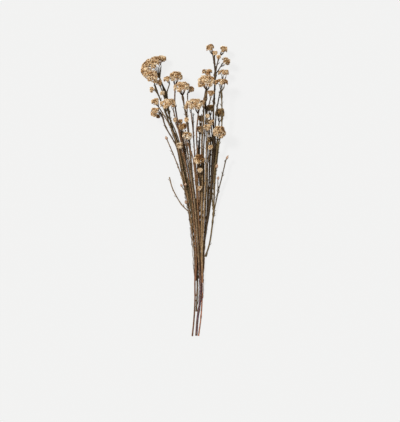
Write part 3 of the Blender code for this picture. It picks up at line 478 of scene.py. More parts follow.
# The bunch as rods between points and balls on points, which settles so that no two pieces touch.
class Layout:
    def __init__(self):
        self.points = []
        self.group = []  # the head or bud that a point is fixed to, or None
        self.rods = []  # first point, last point, radius, piece, the head or bud that the rod may touch
        self.rings = {}  # (stem, run): its points in order
        self.stalks = {}  # stem: the points of each thin stalk
        self.seats = {}  # head or bud: the point at the middle of its underside

    def add(self, place, group=None):
        self.points.append(np.array(place, float))
        self.group.append(group)
        return len(self.points) - 1

    def addBall(self, place, radius, name):
        ball = self.add(place, name)
        self.rods.append((ball, ball, radius, name, None))

    # A ball for each floret, and flat ones over the underside.
    def addHead(self, name):
        middle, size, facing, lift, _ = heads[name]
        axes = across, over, along = frameOf(facing, lift)
        base = np.array(middle, float) - along * size[2] / 2
        self.seats[name] = self.add(base, name)
        wide, deep, _, floret, _ = domeShape(name)
        for place, _, radius in floretPlaces(name):
            self.addBall(placeOn(base, axes, place), radius, name)
        small = undersideBall * floret
        for x in underside:
            for y in underside:
                self.addBall(base + across * wide * x + over * deep * y + along * small, small, name)

    def addBud(self, name):
        seat, (length, width), facing, lift = buds[name]
        along = frameOf(facing, lift)[2]
        self.seats[name] = self.add(seat, name)
        low = self.add(seat + along * width / 2, name)
        high = self.add(seat + along * (length - width / 2), name)
        self.rods.append((low, high, width / 2, name, None))

    # What a run carries, its last fork or point, where it meets its load, and where stalks do.
    def endOf(self, end):
        if len(end) == 3:
            return None, np.array(end, float), None, []
        carried, aside = end if len(end) == 2 else (end, None)
        facing, lift = (heads if carried in heads else buds)[carried][2:4]
        across, _, along = frameOf(facing, lift)
        base = self.points[self.seats[carried]]
        if aside is not None:
            offsets = [(aside + s, s) for s in lobeStalks]
            return carried, base + across * aside - along * lobeFork, None, offsets
        offsets = stalkTips(carried) if carried in heads else []
        if not offsets:
            return carried, base - along * seatStep, base - along * clearance, []
        width = heads[carried][1][0]
        aside = sharedHeads.get(carried, 0) * width / 2
        return carried, base - along * forkDepth * width + across * aside, None, offsets

    # Thin stalks from a run's end to a head's underside.
    def addStalks(self, stem, name, offsets, fork):
        across, over, along = frameOf(*heads[name][2:4])
        base = self.points[self.seats[name]]
        for x, y in offsets:
            tip = base + across * x + over * y - along * clearance
            under = self.add(tip - along * stalkEnd, name)
            end = self.add(tip, name)
            self.rods.append((fork, under, stalkRadius, stem, name))
            self.stalks.setdefault(stem, []).append((fork, under, end))

    # The rings of one run, from the run that it leaves to the fork under what it carries.
    def addRun(self, stem, run):
        spec = stems[stem][run]
        carried, tip, seat, offsets = self.endOf(spec["end"])
        route = [np.array(spot, float) for spot in spec["route"]]
        first = None
        if spec["start"]:
            parent = self.rings[stem, spec["start"]]
            first = min(parent[1:-1], key=lambda i: math.dist(self.points[i][:2], route[0]))
            root = self.points[first]
            placed = sideHeights([root[:2], *route[1:], tip[:2]], tip[2], root[2])
        else:
            placed = mainHeights([*route, tip[:2]], tip[2], cutHeights[stem])
        leaving = [other["route"][0] for other in stems[stem].values() if other["start"] == run]
        long = lengthsAlong(placed)[-1] > longRun
        smooth = smoothRoute(placed, ringStep if long else shortStep, leaving)
        ids = [self.add(smooth[0]) if first is None else first]
        ids += [self.add(place) for place in smooth[1:-1]]
        ids.append(self.add(tip, carried))
        if seat is not None:
            ids.append(self.add(seat, carried))
        self.rings[stem, run] = ids
        radii = np.linspace(*spec["radii"], len(ids))
        for a, b, radius in zip(ids, ids[1:], radii):
            self.rods.append((a, b, radius, stem, carried))
        if offsets:
            self.addStalks(stem, carried, offsets, ids[-1])

    def fill(self):
        for name in heads:
            self.addHead(name)
        for name in buds:
            self.addBud(name)
        for stem in stems:
            for run in stems[stem]:
                self.addRun(stem, run)

    # The rods as arrays: first and last points, radii, pieces, and the pieces that they may touch.
    def arrays(self):
        numbers = {name: k for k, name in enumerate([*stems, *heads, *buds])}
        first, last, radii, pieces, loads = zip(*self.rods)
        pieces = np.array([numbers[name] for name in pieces])
        loads = np.array([numbers.get(name, -1) for name in loads])
        return np.array(first), np.array(last), np.array(radii), pieces, loads

    # How low each point may lie, so that its piece rests on the surface or stays just above it.
    def lowestHeights(self):
        lowest = np.zeros(len(self.points))
        for a, b, radius, piece, _ in self.rods:
            resting = piece in restingStems or piece in restingHeads
            least = radius * flatShare - trim if resting else radius
            lowest[a] = max(lowest[a], least)
            lowest[b] = max(lowest[b], least)
        return lowest

    # The points of the stems' lower ends that lie on the surface.
    def restingPoints(self):
        resting = []
        for stem in restingStems:
            ids = self.rings[stem, "main"]
            top = self.points[ids[0]][1] + restingLength
            resting += [k for k in ids if self.points[k][1] < top]
        return resting

    # Pushes different pieces apart, keeping each run's curve and each head's shape. Returns the air.
    def settle(self, turns):
        points = np.array(self.points)
        start = points.copy()
        first, last, radii, pieces, loads = self.arrays()
        bends = [ids[k - 1 : k + 2] for ids in self.rings.values() for k in range(1, len(ids) - 1)]
        bends = np.array([bend for bend in bends if self.group[bend[1]] is None])
        curve = start[bends[:, 1]] - (start[bends[:, 0]] + start[bends[:, 2]]) / 2
        owners = np.array([owner or "" for owner in self.group])
        bodies = {name: np.flatnonzero(owners == name) for name in self.seats}
        drift = {name: np.zeros(3) for name in bodies}
        lowest = self.lowestHeights()
        resting = self.restingPoints()
        for turn in range(turns):
            if turn % lookEvery == 0:
                ends = np.stack([points[first], points[last]], axis=1)
                i, j = nearPairs(ends, radii, pieces, loads)
            s, t = nearest(points[first[i]], points[last[i]], points[first[j]], points[last[j]])
            onI = points[first[i]] * (1 - s) + points[last[i]] * s
            onJ = points[first[j]] * (1 - t) + points[last[j]] * t
            far = np.maximum(np.linalg.norm(onI - onJ, axis=1, keepdims=True), 1e-6)
            short = np.maximum(0, (radii[i] + radii[j] + spacing)[:, None] - far)
            push = (onI - onJ) / far * short / 2
            moved = np.zeros_like(points)
            pushes = np.zeros((len(points), 1))
            parts = ((first[i], 1 - s), (last[i], s), (first[j], t - 1), (last[j], -t))
            for ids, share in parts:
                np.add.at(moved, ids, share * push)
                np.add.at(pushes, ids, (np.abs(share) * short > 0).astype(float))
            points += eagerness * moved / np.maximum(1, pushes)
            for name, ids in bodies.items():
                drift[name] += eagerness * moved[ids].sum(axis=0) / max(1, pushes[ids].sum())
                sunk = (lowest[ids] - start[ids, 2]).max() - drift[name][2]
                if sunk > 0 or name in restingHeads:
                    drift[name][2] += sunk
                points[ids] = start[ids] + drift[name]
            straight = (points[bends[:, 0]] + points[bends[:, 2]]) / 2
            easing = firstEasing if turn < turns * easeUntil else lastEasing
            points[bends[:, 1]] += easing * (straight + curve - points[bends[:, 1]])
            points[:, 2] = np.maximum(points[:, 2], lowest)
            points[resting, 2] = lowest[resting]
        self.points = points
        return spacing - float(short.max())


# Indices of rods of two pieces that are near enough to be looked at closely.
def nearPairs(ends, radii, pieces, loads):
    middle = (ends[:, 0] + ends[:, 1]) / 2
    half = np.linalg.norm(ends[:, 0] - ends[:, 1], axis=1) / 2 + radii
    i, j = np.triu_indices(len(ends), 1)
    apart = (pieces[i] != pieces[j]) & (loads[i] != pieces[j]) & (loads[j] != pieces[i])
    i, j = i[apart], j[apart]
    near = np.linalg.norm(middle[i] - middle[j], axis=1) < half[i] + half[j] + lookAround
    return i[near], j[near]


# How far along two sets of rods they come nearest to each other, as fractions.
def nearest(a0, a1, b0, b1):
    a = a1 - a0
    b = b1 - b0
    c = a0 - b0
    aa = np.maximum((a * a).sum(1), 1e-9)
    bb = np.maximum((b * b).sum(1), 1e-9)
    ab = (a * b).sum(1)
    ac = (a * c).sum(1)
    bc = (b * c).sum(1)
    s = np.clip((ab * bc - ac * bb) / np.maximum(aa * bb - ab * ab, 1e-9), 0, 1)
    t = np.clip((ab * s + bc) / bb, 0, 1)
    s = np.clip((ab * t - ac) / aa, 0, 1)
    return s[:, None], t[:, None]


def colour(text):
    # An sRGB hex value as linear red, green, blue and alpha.
    values = [int(text[i : i + 2], 16) / 255 for i in (1, 3, 5)]
    return (*(v / 12.92 if v <= 0.04045 else ((v + 0.055) / 1.055) ** 2.4 for v in values), 1.0)


def link(material, source, socket):
    # Links an output, or a node's first output that is in use, to an input.
    if isinstance(source, bpy.types.Node):
        source = next(output for output in source.outputs if output.enabled)
    material.node_tree.links.new(source, socket)


def addNode(material, kind, settings, links):
    # A node with its settings and links. Colours are hex values, and a list of stops fills a colour ramp.
    node = material.node_tree.nodes.new("ShaderNode" + kind)
    for key, value in settings.items():
        if key == "stops":
            ramp = node.color_ramp.elements
            while len(ramp) < len(value):
                ramp.new(0.5)
            for element, (position, text) in zip(ramp, value):
                element.position = position
                element.color = colour(text)
        elif isinstance(key, int) or key in node.inputs:
            node.inputs[key].default_value = colour(value) if isinstance(value, str) else value
        else:
            setattr(node, key, value)
    for key, source in links.items():
        link(material, source, node.inputs[key])
    return node


def newMaterial(name, roughness, ior):
    material = bpy.data.materials.new(name)
    material.use_nodes = True
    shader = material.node_tree.nodes["Principled BSDF"]
    for key, value in (("Roughness", roughness), ("IOR", ior), ("Metallic", 0.0)):
        shader.inputs[key].default_value = value
    return material, shader


def overlay(material, under, layers):
    # Colours laid one over the other, each as far as its pattern lies between two limits, up to a share.
    for pattern, begin, end, most, tone in layers:
        limits = {"From Min": begin, "From Max": end, "To Max": most}
        links = {0: addNode(material, "MapRange", limits, {"Value": pattern})}
        settings = {"data_type": "RGBA", 7: tone}
        if isinstance(under, str):
            settings[6] = under
        else:
            links[6] = under
        under = addNode(material, "Mix", settings, links)
    return under


def darken(material, under, stops):
    # A colour darkened by the ramp's, which follows the shade of the place.
    shade = addNode(material, "Attribute", {"attribute_name": "shade"}, {}).outputs["Fac"]
    ramp = addNode(material, "ValToRGB", {"stops": stops}, {"Fac": shade})
    settings = {"data_type": "RGBA", "blend_type": "MULTIPLY", 0: 1.0}
    return addNode(material, "Mix", settings, {6: under, 7: ramp})


def connect(material, shader, tone, height, distance, strength):
    # Colour into the shader, and height through a bump in millimetres.
    link(material, tone, shader.inputs["Base Color"])
    bump = addNode(material, "Bump", {"Distance": distance * mm, "Strength": strength}, {"Height": height})
    link(material, bump, shader.inputs["Normal"])


# Dried bark, stripped of its leaves by hand: matt, finely furrowed along the stem, with paler worn ridges
# and dark hollows, whose dark colour is painted shade in the furrows. The furrows are about 0.7 mm wide and
# some 8 mm long, the blotches some 10 mm long.
# Below the neck the bark is older and its colour changes to the low one. Thin wood near the heads is tinted.
barks = {  # dark (painted shade in the furrows), base, light, tint and low
    "brown_wood": ("#33230F", "#9A7C56", "#D6BE98", "#664C2E", "#9E6747"),
    "olive_wood": ("#2B210E", "#8A744A", "#C8B384", "#5C4B2A", "#8A6848"),
    "red_brown_wood": ("#3A2312", "#A07650", "#D8B48C", "#6C4A2E", "#B06A4B"),
    "purple_wood": ("#33251C", "#8D7352", "#C8B08E", "#604A36", "#6C4560"),
    "dark_wood": ("#241A0C", "#745A38", "#B0946A", "#4E3A20", "#715238"),
}


def barkMaterial(slot):
    dark, base, light, tint, low = barks[slot]
    material, shader = newMaterial("dried bark " + slot.replace("_", " "), 0.78, 1.45)
    grain = addNode(material, "Attribute", {"attribute_name": "grain"}, {}).outputs["Vector"]
    along = addNode(material, "Mapping", {"Scale": (1.4, 1.4, 0.13)}, {"Vector": grain})
    blotch = addNode(material, "Mapping", {"Scale": (0.5, 0.5, 0.11)}, {"Vector": grain})
    furrows = addNode(
        material, "TexNoise", {"Scale": 1.0, "Detail": 5.0, "Roughness": 0.62}, {"Vector": along}
    )
    patchy = addNode(material, "TexNoise", {"Scale": 1.0, "Detail": 2.0}, {"Vector": blotch})
    speck = addNode(material, "TexNoise", {"Scale": 0.7, "Detail": 2.0}, {"Vector": grain})
    place = addNode(material, "TexCoord", {}, {}).outputs["Object"]
    height = addNode(material, "SeparateXYZ", {}, {"Vector": place}).outputs["Y"]
    scar = addNode(material, "Attribute", {"attribute_name": "pale"}, {}).outputs["Fac"]
    layers = (
        (height, -0.13, -0.19, 1.0, low),
        (height, 0.03, 0.11, 0.55, tint),
        # painted shade: the dark colour lies in the hollows of the furrows' relief
        (furrows, 0.50, 0.33, 0.9, dark),
        (patchy, 0.46, 0.60, 0.85, tint),
        (speck, 0.56, 0.70, 0.8, light),
        (scar, 0.0, 1.0, 1.0, light),
    )
    # The shade attribute darkens each stem by its tone, its knots and the painted shade of its flanks and
    # underside.
    stops = [(0.0, "#8E8478"), (0.45, "#D2CBC0"), (0.8, "#FFFCF4"), (1.0, "#FFFFFF")]
    tone = darken(material, overlay(material, base, layers), stops)
    connect(material, shader, tone, furrows, 0.35, 0.8)
    return material


# Sapwood cut with shears: pale, with a darker pith in the middle and a dark line under the bark.
def cutMaterial():
    material, shader = newMaterial("cut sapwood", 0.7, 1.45)
    grain = addNode(material, "Attribute", {"attribute_name": "grain"}, {}).outputs["Vector"]
    flat = addNode(material, "VectorMath", {"operation": "MULTIPLY", 1: (1, 1, 0)}, {0: grain})
    out = addNode(material, "VectorMath", {"operation": "LENGTH"}, {0: flat})
    rings = addNode(material, "TexNoise", {"Scale": 3.0, "Detail": 3.0}, {"Vector": grain})
    stops = [(0.0, "#9A7C5C"), (0.18, "#B99D7C"), (0.3, "#DCCBB0"), (0.85, "#D2BE9F"), (1.0, "#8A7058")]
    share = addNode(material, "MapRange", {"From Max": 1.8}, {"Value": out})
    tone = addNode(material, "ValToRGB", {"stops": stops}, {"Fac": share})
    connect(material, shader, tone, rings, 0.2, 0.5)
    return material


# Papery bracts, dried: matt, cream at their tips and brown at their roots, round a brown eye of disc florets.
# Their roots are darker than that brown, as painted shade between the florets. The colours go from a floret's
# root over its side, body, tip and ring to its eye.
bractZones = (0.0, 0.3, 0.55, 0.75, 0.88, 1.0)
bracts = {
    "cream": ("#3E2A15", "#B08A58", "#ECD1A4", "#FFF3DC", "#C49962", "#704626"),
    "pale": ("#5E4828", "#C2A476", "#EEDEC0", "#FDF7E8", "#CCA26C", "#845A30"),
    "tan": ("#34220D", "#7E5C36", "#B08A56", "#DAB98A", "#8C6236", "#4A2F18"),
    "olive": ("#46351C", "#80653A", "#A68A58", "#CFB688", "#80603A", "#4E381E"),
    "bud": ("#6E5440", "#A8836A", "#CBA88E", "#E0C7B0", "#B48060", "#845840"),
}


def bractMaterial(tone):
    material, shader = newMaterial("papery bracts " + tone, 0.82, 1.4)
    zone = addNode(material, "Attribute", {"attribute_name": "zone"}, {}).outputs["Fac"]
    place = addNode(material, "TexCoord", {}, {}).outputs["Object"]
    fine = addNode(material, "TexNoise", {"Scale": 1100.0, "Detail": 3.0}, {"Vector": place})
    wide = addNode(material, "TexNoise", {"Scale": 90.0, "Detail": 2.0}, {"Vector": place})
    tinted = addNode(material, "ValToRGB", {"stops": list(zip(bractZones, bracts[tone]))}, {"Fac": zone})
    # The shade attribute darkens florets that browned at random, and paints shade on the sides of each tuft
    # and on the florets deep between tufts.
    fadedAndShaded = darken(
        material, tinted, [(0.0, "#8A6A48"), (0.25, "#C8A884"), (0.5, "#F0E2D0"), (1.0, "#FFFFFF")]
    )
    aged = overlay(material, fadedAndShaded, [(wide, 0.48, 0.7, 0.5, bracts[tone][1])])
    connect(material, shader, aged, fine, 0.2, 0.6)
    return material


# Thin flower stalks and narrow leaves, dried: dull olive brown, a little wrinkled.
def dryMaterial(name, dark, light):
    material, shader = newMaterial(name, 0.8, 1.45)
    place = addNode(material, "TexCoord", {}, {}).outputs["Object"]
    wrinkles = addNode(material, "TexNoise", {"Scale": 650.0, "Detail": 4.0}, {"Vector": place})
    tone = addNode(material, "ValToRGB", {"stops": [(0.35, dark), (0.68, light)]}, {"Fac": wrinkles})
    connect(material, shader, tone, wrinkles, 0.3, 0.6)
    return material


def axesMatrix(across, over, along, place):
    # Three axes and a place, given in millimetres, as a matrix.
    turned = np.eye(4)
    turned[:3] = np.column_stack([across, over, along, place]) * mm
    return Matrix(turned.tolist())


def framesAlong(points, radii):
    # A matrix for each point that lays a circle of its radius across the way, without twisting.
    steps = np.diff(points, axis=0)
    steps /= np.linalg.norm(steps, axis=1, keepdims=True)
    ways = np.vstack([steps[0], (steps[1:] + steps[:-1]) / 2, steps[-1]])
    up = np.array([0.0, 0.0, 1.0]) if abs(ways[0][2]) < 0.9 else np.array([0.0, 1.0, 0.0])
    frames = []
    for point, way, radius in zip(points, ways, radii):
        way = way / np.linalg.norm(way)
        up = up - way * up.dot(way)
        up /= np.linalg.norm(up)
        frames.append(axesMatrix(np.cross(up, way) * radius, up * radius, way * radius, point))
    return frames


def extrudeRing(bm, edges):
    # A new ring of vertices raised from these edges, and the edges round it.
    made = bmesh.ops.extrude_edge_only(bm, edges=edges)["geom"]
    ring = [part for part in made if isinstance(part, bmesh.types.BMVert)]
    new = set(ring)
    return ring, [e for e in made if isinstance(e, bmesh.types.BMEdge) and new.issuperset(e.verts)]


def facesOf(verts):
    return list(dict.fromkeys(face for vert in verts for face in vert.link_faces))


def edgesOf(verts):
    return list(dict.fromkeys(edge for vert in verts for edge in vert.link_edges))


def growTube(bm, points, radii, sides, material, begin, tone=0.5):
    # A closed tube of rings extruded one after the other, with painted light: paler on its upper side,
    # painted shade on its flanks and underside. Returns its first cap.
    frames = framesAlong(points, radii)
    grain = bm.verts.layers.float_vector["grain"]
    shade = bm.verts.layers.float["shade"]
    ring = bmesh.ops.create_circle(bm, cap_ends=False, segments=sides, radius=1.0)["verts"]
    for vert in ring:
        vert[grain] = (vert.co.x * radii[0], vert.co.y * radii[0], begin)
        # painted shade on the flanks and underside, against the paler upper side
        vert[shade] = tone * (wood["paintedFlankShade"] + (1 - wood["paintedFlankShade"]) * max(0.0, vert.co.y))
    edges = firstEdges = edgesOf(ring)
    bmesh.ops.transform(bm, matrix=frames[0], verts=ring)
    for before, now, far in zip(frames, frames[1:], lengthsAlong(points)[1:]):
        ring, edges = extrudeRing(bm, edges)
        bmesh.ops.transform(bm, matrix=now @ before.inverted(), verts=ring)
        for vert in ring:
            vert[grain][2] = begin + far
        for face in facesOf(ring):
            face.material_index = material
    bmesh.ops.edgeloop_fill(bm, edges=edges, mat_nr=material)
    return bmesh.ops.edgeloop_fill(bm, edges=firstEdges, mat_nr=material)["faces"]


def addCopy(bm, template, matrix):
    mesh = template.copy()
    mesh.transform(matrix)
    bm.from_mesh(mesh)
    bpy.data.meshes.remove(mesh)


def standing(place, direction, roll, size):
    # The matrix that stands a template's +Z along the direction.
    turned = Vector(direction).to_track_quat("Z", "Y").to_matrix().to_4x4()
    scaled = Matrix.Diagonal((*(side * mm for side in size), 1.0))
    return Matrix.Translation(Vector(place) * mm) @ turned @ Matrix.Rotation(roll, 4, "Z") @ scaled


def newShape():
    # An empty bmesh with the values that the materials read.
    bm = bmesh.new()
    bm.verts.layers.float_vector.new("grain")
    for name in ("pale", "zone", "shade"):
        bm.verts.layers.float.new(name)
    return bm


def toMesh(bm, name):
    mesh = bpy.data.meshes.new(name)
    bm.to_mesh(mesh)
    bm.free()
    return mesh


def finishPiece(bm, name, materials, sharp):
    # The bmesh as a piece that stands for the node of this name, and stays in the box of the solids.
    bmesh.ops.recalc_face_normals(bm, faces=bm.faces)
    for vert in bm.verts:
        vert.co = [min(max(at, low), high) for at, low, high in zip(vert.co, *solidBounds)]
    mesh = toMesh(bm, name + "_fine")
    for material in materials:
        mesh.materials.append(material)
    mesh.shade_smooth()
    mesh.set_sharp_from_angle(angle=math.radians(sharp))
    piece = bpy.data.objects.new(name + "_fine", mesh)
    bpy.context.scene.collection.objects.link(piece)
    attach(piece, "root")
    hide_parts(name)


# Stems: bark with knots at the forks, scars of stripped leaves, what is left of narrow leaves, and fine bare
# twigs that hug the stems.
wood = {
    "step": 3.2,
    "mainSides": 12,
    "sideSides": 9,
    "tone": (0.25, 1.0),  # from darkest to palest stem
    "rim": 0.12,  # of bark round the cut face, as a share of its radius
    "relief": 0.22,
    "grain": (1.3, 1.3, 0.16),  # how fine the relief is across and along the stem
    "paintedFlankShade": 0.3,  # painted shade: how pale the flanks and the underside are, against the upper side
    "collar": 0.5,
    "collarReach": 3.5,
    "forkCollar": 0.6,  # of the collar, where another run leaves
    "scarStart": (2, 6),  # from the root of the run
    "scarEnd": 3,  # from its tip
    "scarEvery": 6.0,
    "scarUneven": (0.5, 1.5),  # shares of that
    "scarSize": 0.62,  # on a stem of 1 mm radius
    "scarSpread": (0.6, 1.2),
    "scarRadii": (0.6, 1.2),  # of the stem, between which its scars grow with it
    "scarLength": 1.2,  # against its width
    "scarPale": 0.8,
    "scarDepth": 0.85,  # where its middle is, as a share of the stem's radius
    "tubeStart": (0, 900),  # where along a log's grain each tube begins, so that no two look alike
}
stalks = {
    "step": 2.5,
    "sides": 6,
    "taper": (1.15, 0.72),
    "tone": 0.5,
    "fine": 2.2,  # thinner stalks, for each stalk of a fan but one
    "between": (0.15, 0.85),  # where they run, between two of the others
    "fineTaper": (0.75, 0.5),
    "fineTone": (0.1, 0.5),
}
leaf = {
    "from": -150.0,  # none are left below this height of the bunch
    "full": 20.0,  # above it most scars still hold one
    "share": 0.55,
    "clear": 0.8,  # the least height above the surface
    "length": (2.5, 6.0),
    "slimness": (0.07, 0.12),
    "reach": 0.9,  # how far out it leans at first
    "bend": (0.2, 0.7),
    "wave": 0.12,
    "waves": 5,
    "profile": ((0, 0.7), (0.25, 1.0), (0.55, 1.1), (0.8, 0.8), (1.0, 0.25)),  # how far along, how wide
    "sides": 5,
    "kinds": 5,
}
# The twigs of main runs, and a second set that lies lower, under the bunch, darker as painted shade.
twigs = {
    "every": (90.0, 65.0),  # of the length of a run, in each set
    "length": (50.0, 120.0),
    "shortest": 40.0,
    "endGap": 4,  # from its end to the run's
    "fewest": 8,  # points
    "radii": (0.75, 0.35),
    "sides": 6,
    "aside": (1.6, 3.4),  # on top of the radius of its run
    "parting": 5,  # how fast it gets there: after a fifth of its length
    "widening": 0.5,  # how much farther it is at its end
    "wander": 1.2,
    "waves": 14,
    "noiseRow": 3.1,
    "tone": (0.1, 0.9),
    "drop": 1.0,
    "lowSpread": 7.0,
    "lowDrop": (4.0, 14.0),
    # painted shade: the lower twigs are darker
    "lowShadedTone": (0.0, 0.3),
    "floor": 0.9,  # the least height of its middle
    "range": (-240.0, 10.0),
    "lone": "stem_7",  # it has none, because it leaves the bunch low down
}
# Thick dark knots: the stem, its run, the height of the bunch where it sits, its length, and how much it
# thickens the run.
knots = (
    ("stem_2", "main", 196.0, 10.0, 1.6),
    ("stem_2", "left", 202.0, 6.0, 1.0),
    ("stem_6", "main", 184.0, 7.0, 1.6),
    ("stem_4", "main", 186.0, 6.0, 0.6),
    ("stem_8", "main", 180.0, 5.0, 0.5),
    ("stem_7", "behind", 148.0, 5.0, 0.9),
    ("stem_7", "behind", 190.0, 6.0, 0.8),
    ("stem_7", "main", -62.0, 3.0, 0.5),
    ("stem_7", "main", -128.0, 4.0, 0.6),
    ("stem_5", "main", -252.0, 3.0, 0.35),
    ("stem_4", "main", -240.0, 4.0, 0.25),
)
knotShade = 0.3  # at its middle
knotFade = 1.4  # how far the dark bark reaches, in lengths of the knot
knotLumps = 0.3  # how close its lumps are
knotUneven = 0.6  # how much they stand out
stubRise = 0.35  # how steeply the stub of a stripped leaf points up
stubSeat = 1.2  # how far from the middle of its run it begins
stubRadius = 0.45


def scarTemplate():
    bm = newShape()
    pale = bm.verts.layers.float["pale"]
    bmesh.ops.create_cone(bm, cap_ends=True, segments=5, radius1=1.0, radius2=0.5, depth=1.6)
    for vert in bm.verts:
        vert[pale] = wood["scarPale"] if vert.co.z > 0 else 0.0
    return toMesh(bm, "scar")


def growLeaf(bm, root, out, way, length, radius, draw):
    # A narrow leaf, shrunk and rolled up, that leaves the stem and bends up along it.
    bend = draw.uniform(*leaf["bend"])
    wave = draw.uniform(-leaf["wave"], leaf["wave"])
    side = np.cross(out, way)
    points = []
    for share, _ in leaf["profile"]:
        aside = out * (share * (leaf["reach"] - bend * share))
        aside = aside + side * wave * math.sin(leaf["waves"] * share)
        points.append(root + (aside + way * share) * length)
    radii = [radius * much for _, much in leaf["profile"]]
    growTube(bm, np.array(points), radii, leaf["sides"], 2, draw.uniform(*wood["tubeStart"]))


def leafTemplates():
    # Leaves of 1 mm length that stand on their root and lean out along +X.
    made = []
    for seed in range(leaf["kinds"]):
        draw = random.Random(f"leaf {seed}")
        bm = newShape()
        # growTube works in millimetres, so the template is a metre long for each millimetre of the leaf.
        unit = 1 / mm
        ways = (np.array([1.0, 0.0, 0.0]), np.array([0.0, 0.0, 1.0]))
        growLeaf(bm, np.zeros(3), *ways, unit, draw.uniform(*leaf["slimness"]) * unit, draw)
        made.append(toMesh(bm, "leaf"))
    return made


def runPoints(layout, stem, run):
    return smoothRoute(layout.points[layout.rings[stem, run]], wood["step"], ())


def runRadii(layout, stem, run, points):
    # The run's own taper, thicker at its root and where other runs leave it.
    spec = stems[stem][run]
    radii = np.linspace(*spec["radii"], len(points))
    swell = np.zeros(len(points))
    lengths = lengthsAlong(points)
    if spec["start"]:
        swell += wood["collar"] * np.exp(-lengths / wood["collarReach"])
    for other, its in stems[stem].items():
        if its["start"] == run:
            root = layout.points[layout.rings[stem, other][0]]
            away = np.linalg.norm(points - root, axis=1)
            swell += wood["collar"] * wood["forkCollar"] * np.exp(-((away / wood["collarReach"]) ** 2))
    for owner, its, height, length, much in knots:
        if (owner, its) == (stem, run):
            lumps = [noise.noise(Vector((far * knotLumps, height, 0))) for far in lengths]
            uneven = 1 + knotUneven * np.array(lumps)
            swell += much * np.exp(-(((points[:, 1] - height) / length) ** 2)) * uneven
    return radii * (1 + swell)


def dressRun(bm, points, radii, scar, leaves, draw):
    # Scars in a spiral up the run, many with the rest of a leaf.
    lengths = lengthsAlong(points)
    least, most = wood["scarRadii"]
    far = draw.uniform(*wood["scarStart"])
    turn = draw.uniform(*anyTurn)
    while far < lengths[-1] - wood["scarEnd"]:
        k = int(np.searchsorted(lengths, far)) - 1
        way = points[k + 1] - points[k]
        way /= np.linalg.norm(way)
        side = np.cross(way, (0, 0, 1.0))
        side /= np.linalg.norm(side)
        out = side * math.cos(turn) + np.cross(side, way) * math.sin(turn)
        spot = points[k] + way * (far - lengths[k]) + out * radii[k] * wood["scarDepth"]
        size = wood["scarSize"] * draw.uniform(*wood["scarSpread"]) * min(most, max(least, radii[k]))
        lean = Vector(out * 0.7 + way * 0.7)  # outwards and up alike
        sides = (size, size * wood["scarLength"], size)
        addCopy(bm, scar, standing(spot, lean, draw.uniform(*anyTurn), sides))
        share = (spot[1] - leaf["from"]) / (leaf["full"] - leaf["from"])
        if draw.random() < leaf["share"] * min(1.0, share) and spot[2] > leaf["clear"]:
            length = draw.uniform(*leaf["length"])
            axes = (out * length, np.cross(way, out) * length, way * length)
            addCopy(bm, draw.choice(leaves), axesMatrix(*axes, spot))
        far += wood["scarEvery"] * draw.uniform(*wood["scarUneven"])
        turn += golden


def growTwigs(bm, points, radii, draw):
    # Fine bare twigs that part from a run and follow it closely, and some that hang lower, darker as painted
    # shade.
    # Returns their points and radii.
    lengths = lengthsAlong(points)
    close, low = (round(lengths[-1] / every) for every in twigs["every"])
    made = []
    for k in range(close + low):
        begin = draw.uniform(0, lengths[-1] - twigs["shortest"])
        end = min(lengths[-1] - twigs["endGap"], begin + draw.uniform(*twigs["length"]))
        inside = (lengths >= begin) & (lengths <= end)
        if inside.sum() < twigs["fewest"] or not twigs["range"][0] < points[inside][0][1] < twigs["range"][1]:
            continue
        share = np.linspace(0, 1, inside.sum())
        ramp = np.minimum(1, share * twigs["parting"]) * (1 + twigs["widening"] * share)
        spots = [(begin, twigs["noiseRow"], twigs["waves"] * s) for s in share]
        wander = np.array([noise.noise(Vector(spot)) for spot in spots]) * twigs["wander"]
        aside = draw.choice((-1, 1)) * (draw.uniform(*twigs["aside"]) + radii[inside])
        drop = twigs["drop"]
        tone = draw.uniform(*twigs["tone"])
        if k >= close:
            aside = draw.uniform(-1, 1) * twigs["lowSpread"]
            drop = draw.uniform(*twigs["lowDrop"])
            # painted shade: the lower twigs are darker
            tone = draw.uniform(*twigs["lowShadedTone"])
        route = points[inside] + np.column_stack([aside * ramp + wander, 0 * share, (wander - drop) * ramp])
        route[:, 2] = np.maximum(route[:, 2], twigs["floor"])
        thin = np.linspace(*twigs["radii"], len(route))
        growTube(bm, route, thin, twigs["sides"], 0, draw.uniform(*wood["tubeStart"]), tone)
        made.append((route, thin))
    return made


def roughen(bm):
    # Low ridges and hollows along the grain of the bark.
    grain = bm.verts.layers.float_vector["grain"]
    bm.normal_update()
    for vert in bm.verts:
        spot = Vector([at * fine for at, fine in zip(vert[grain], wood["grain"])])
        vert.co += vert.normal * wood["relief"] * mm * noise.noise(spot)


def growStalks(bm, layout, stem):
    # The stalks that fan out under each head, and finer, darker ones between them.
    draw = random.Random(stem + " stalks")
    fans = {}
    for fork, under, end in layout.stalks.get(stem, ()):
        fans.setdefault(fork, []).append(layout.points[[fork, under, end]])
    for ways in fans.values():
        grown = [(way, *stalks["taper"], stalks["tone"]) for way in ways]
        for _ in range(round(stalks["fine"] * (len(ways) - 1))):
            one, other = draw.sample(ways, 2)
            share = draw.uniform(*stalks["between"])
            between = one * share + other * (1 - share)
            grown.append((between, *stalks["fineTaper"], draw.uniform(*stalks["fineTone"])))
        for way, root, tip, tone in grown:
            points = smoothRoute(way, stalks["step"], ())
            radii = np.linspace(stalkRadius * root, stalkRadius * tip, len(points))
            growTube(bm, points, radii, stalks["sides"], 0, draw.uniform(*wood["tubeStart"]), tone)


def darkenKnots(bm, layout, stem):
    # Bark is darker where the wood has swollen.
    shade = bm.verts.layers.float["shade"]
    for owner, run, height, length, _ in knots:
        if owner == stem:
            points = runPoints(layout, stem, run)
            middle = points[np.abs(points[:, 1] - height).argmin()] * mm
            for vert in bm.verts:
                far = math.dist(vert.co, middle) / (knotFade * length * mm)
                vert[shade] *= min(1.0, knotShade + (1 - knotShade) * far)


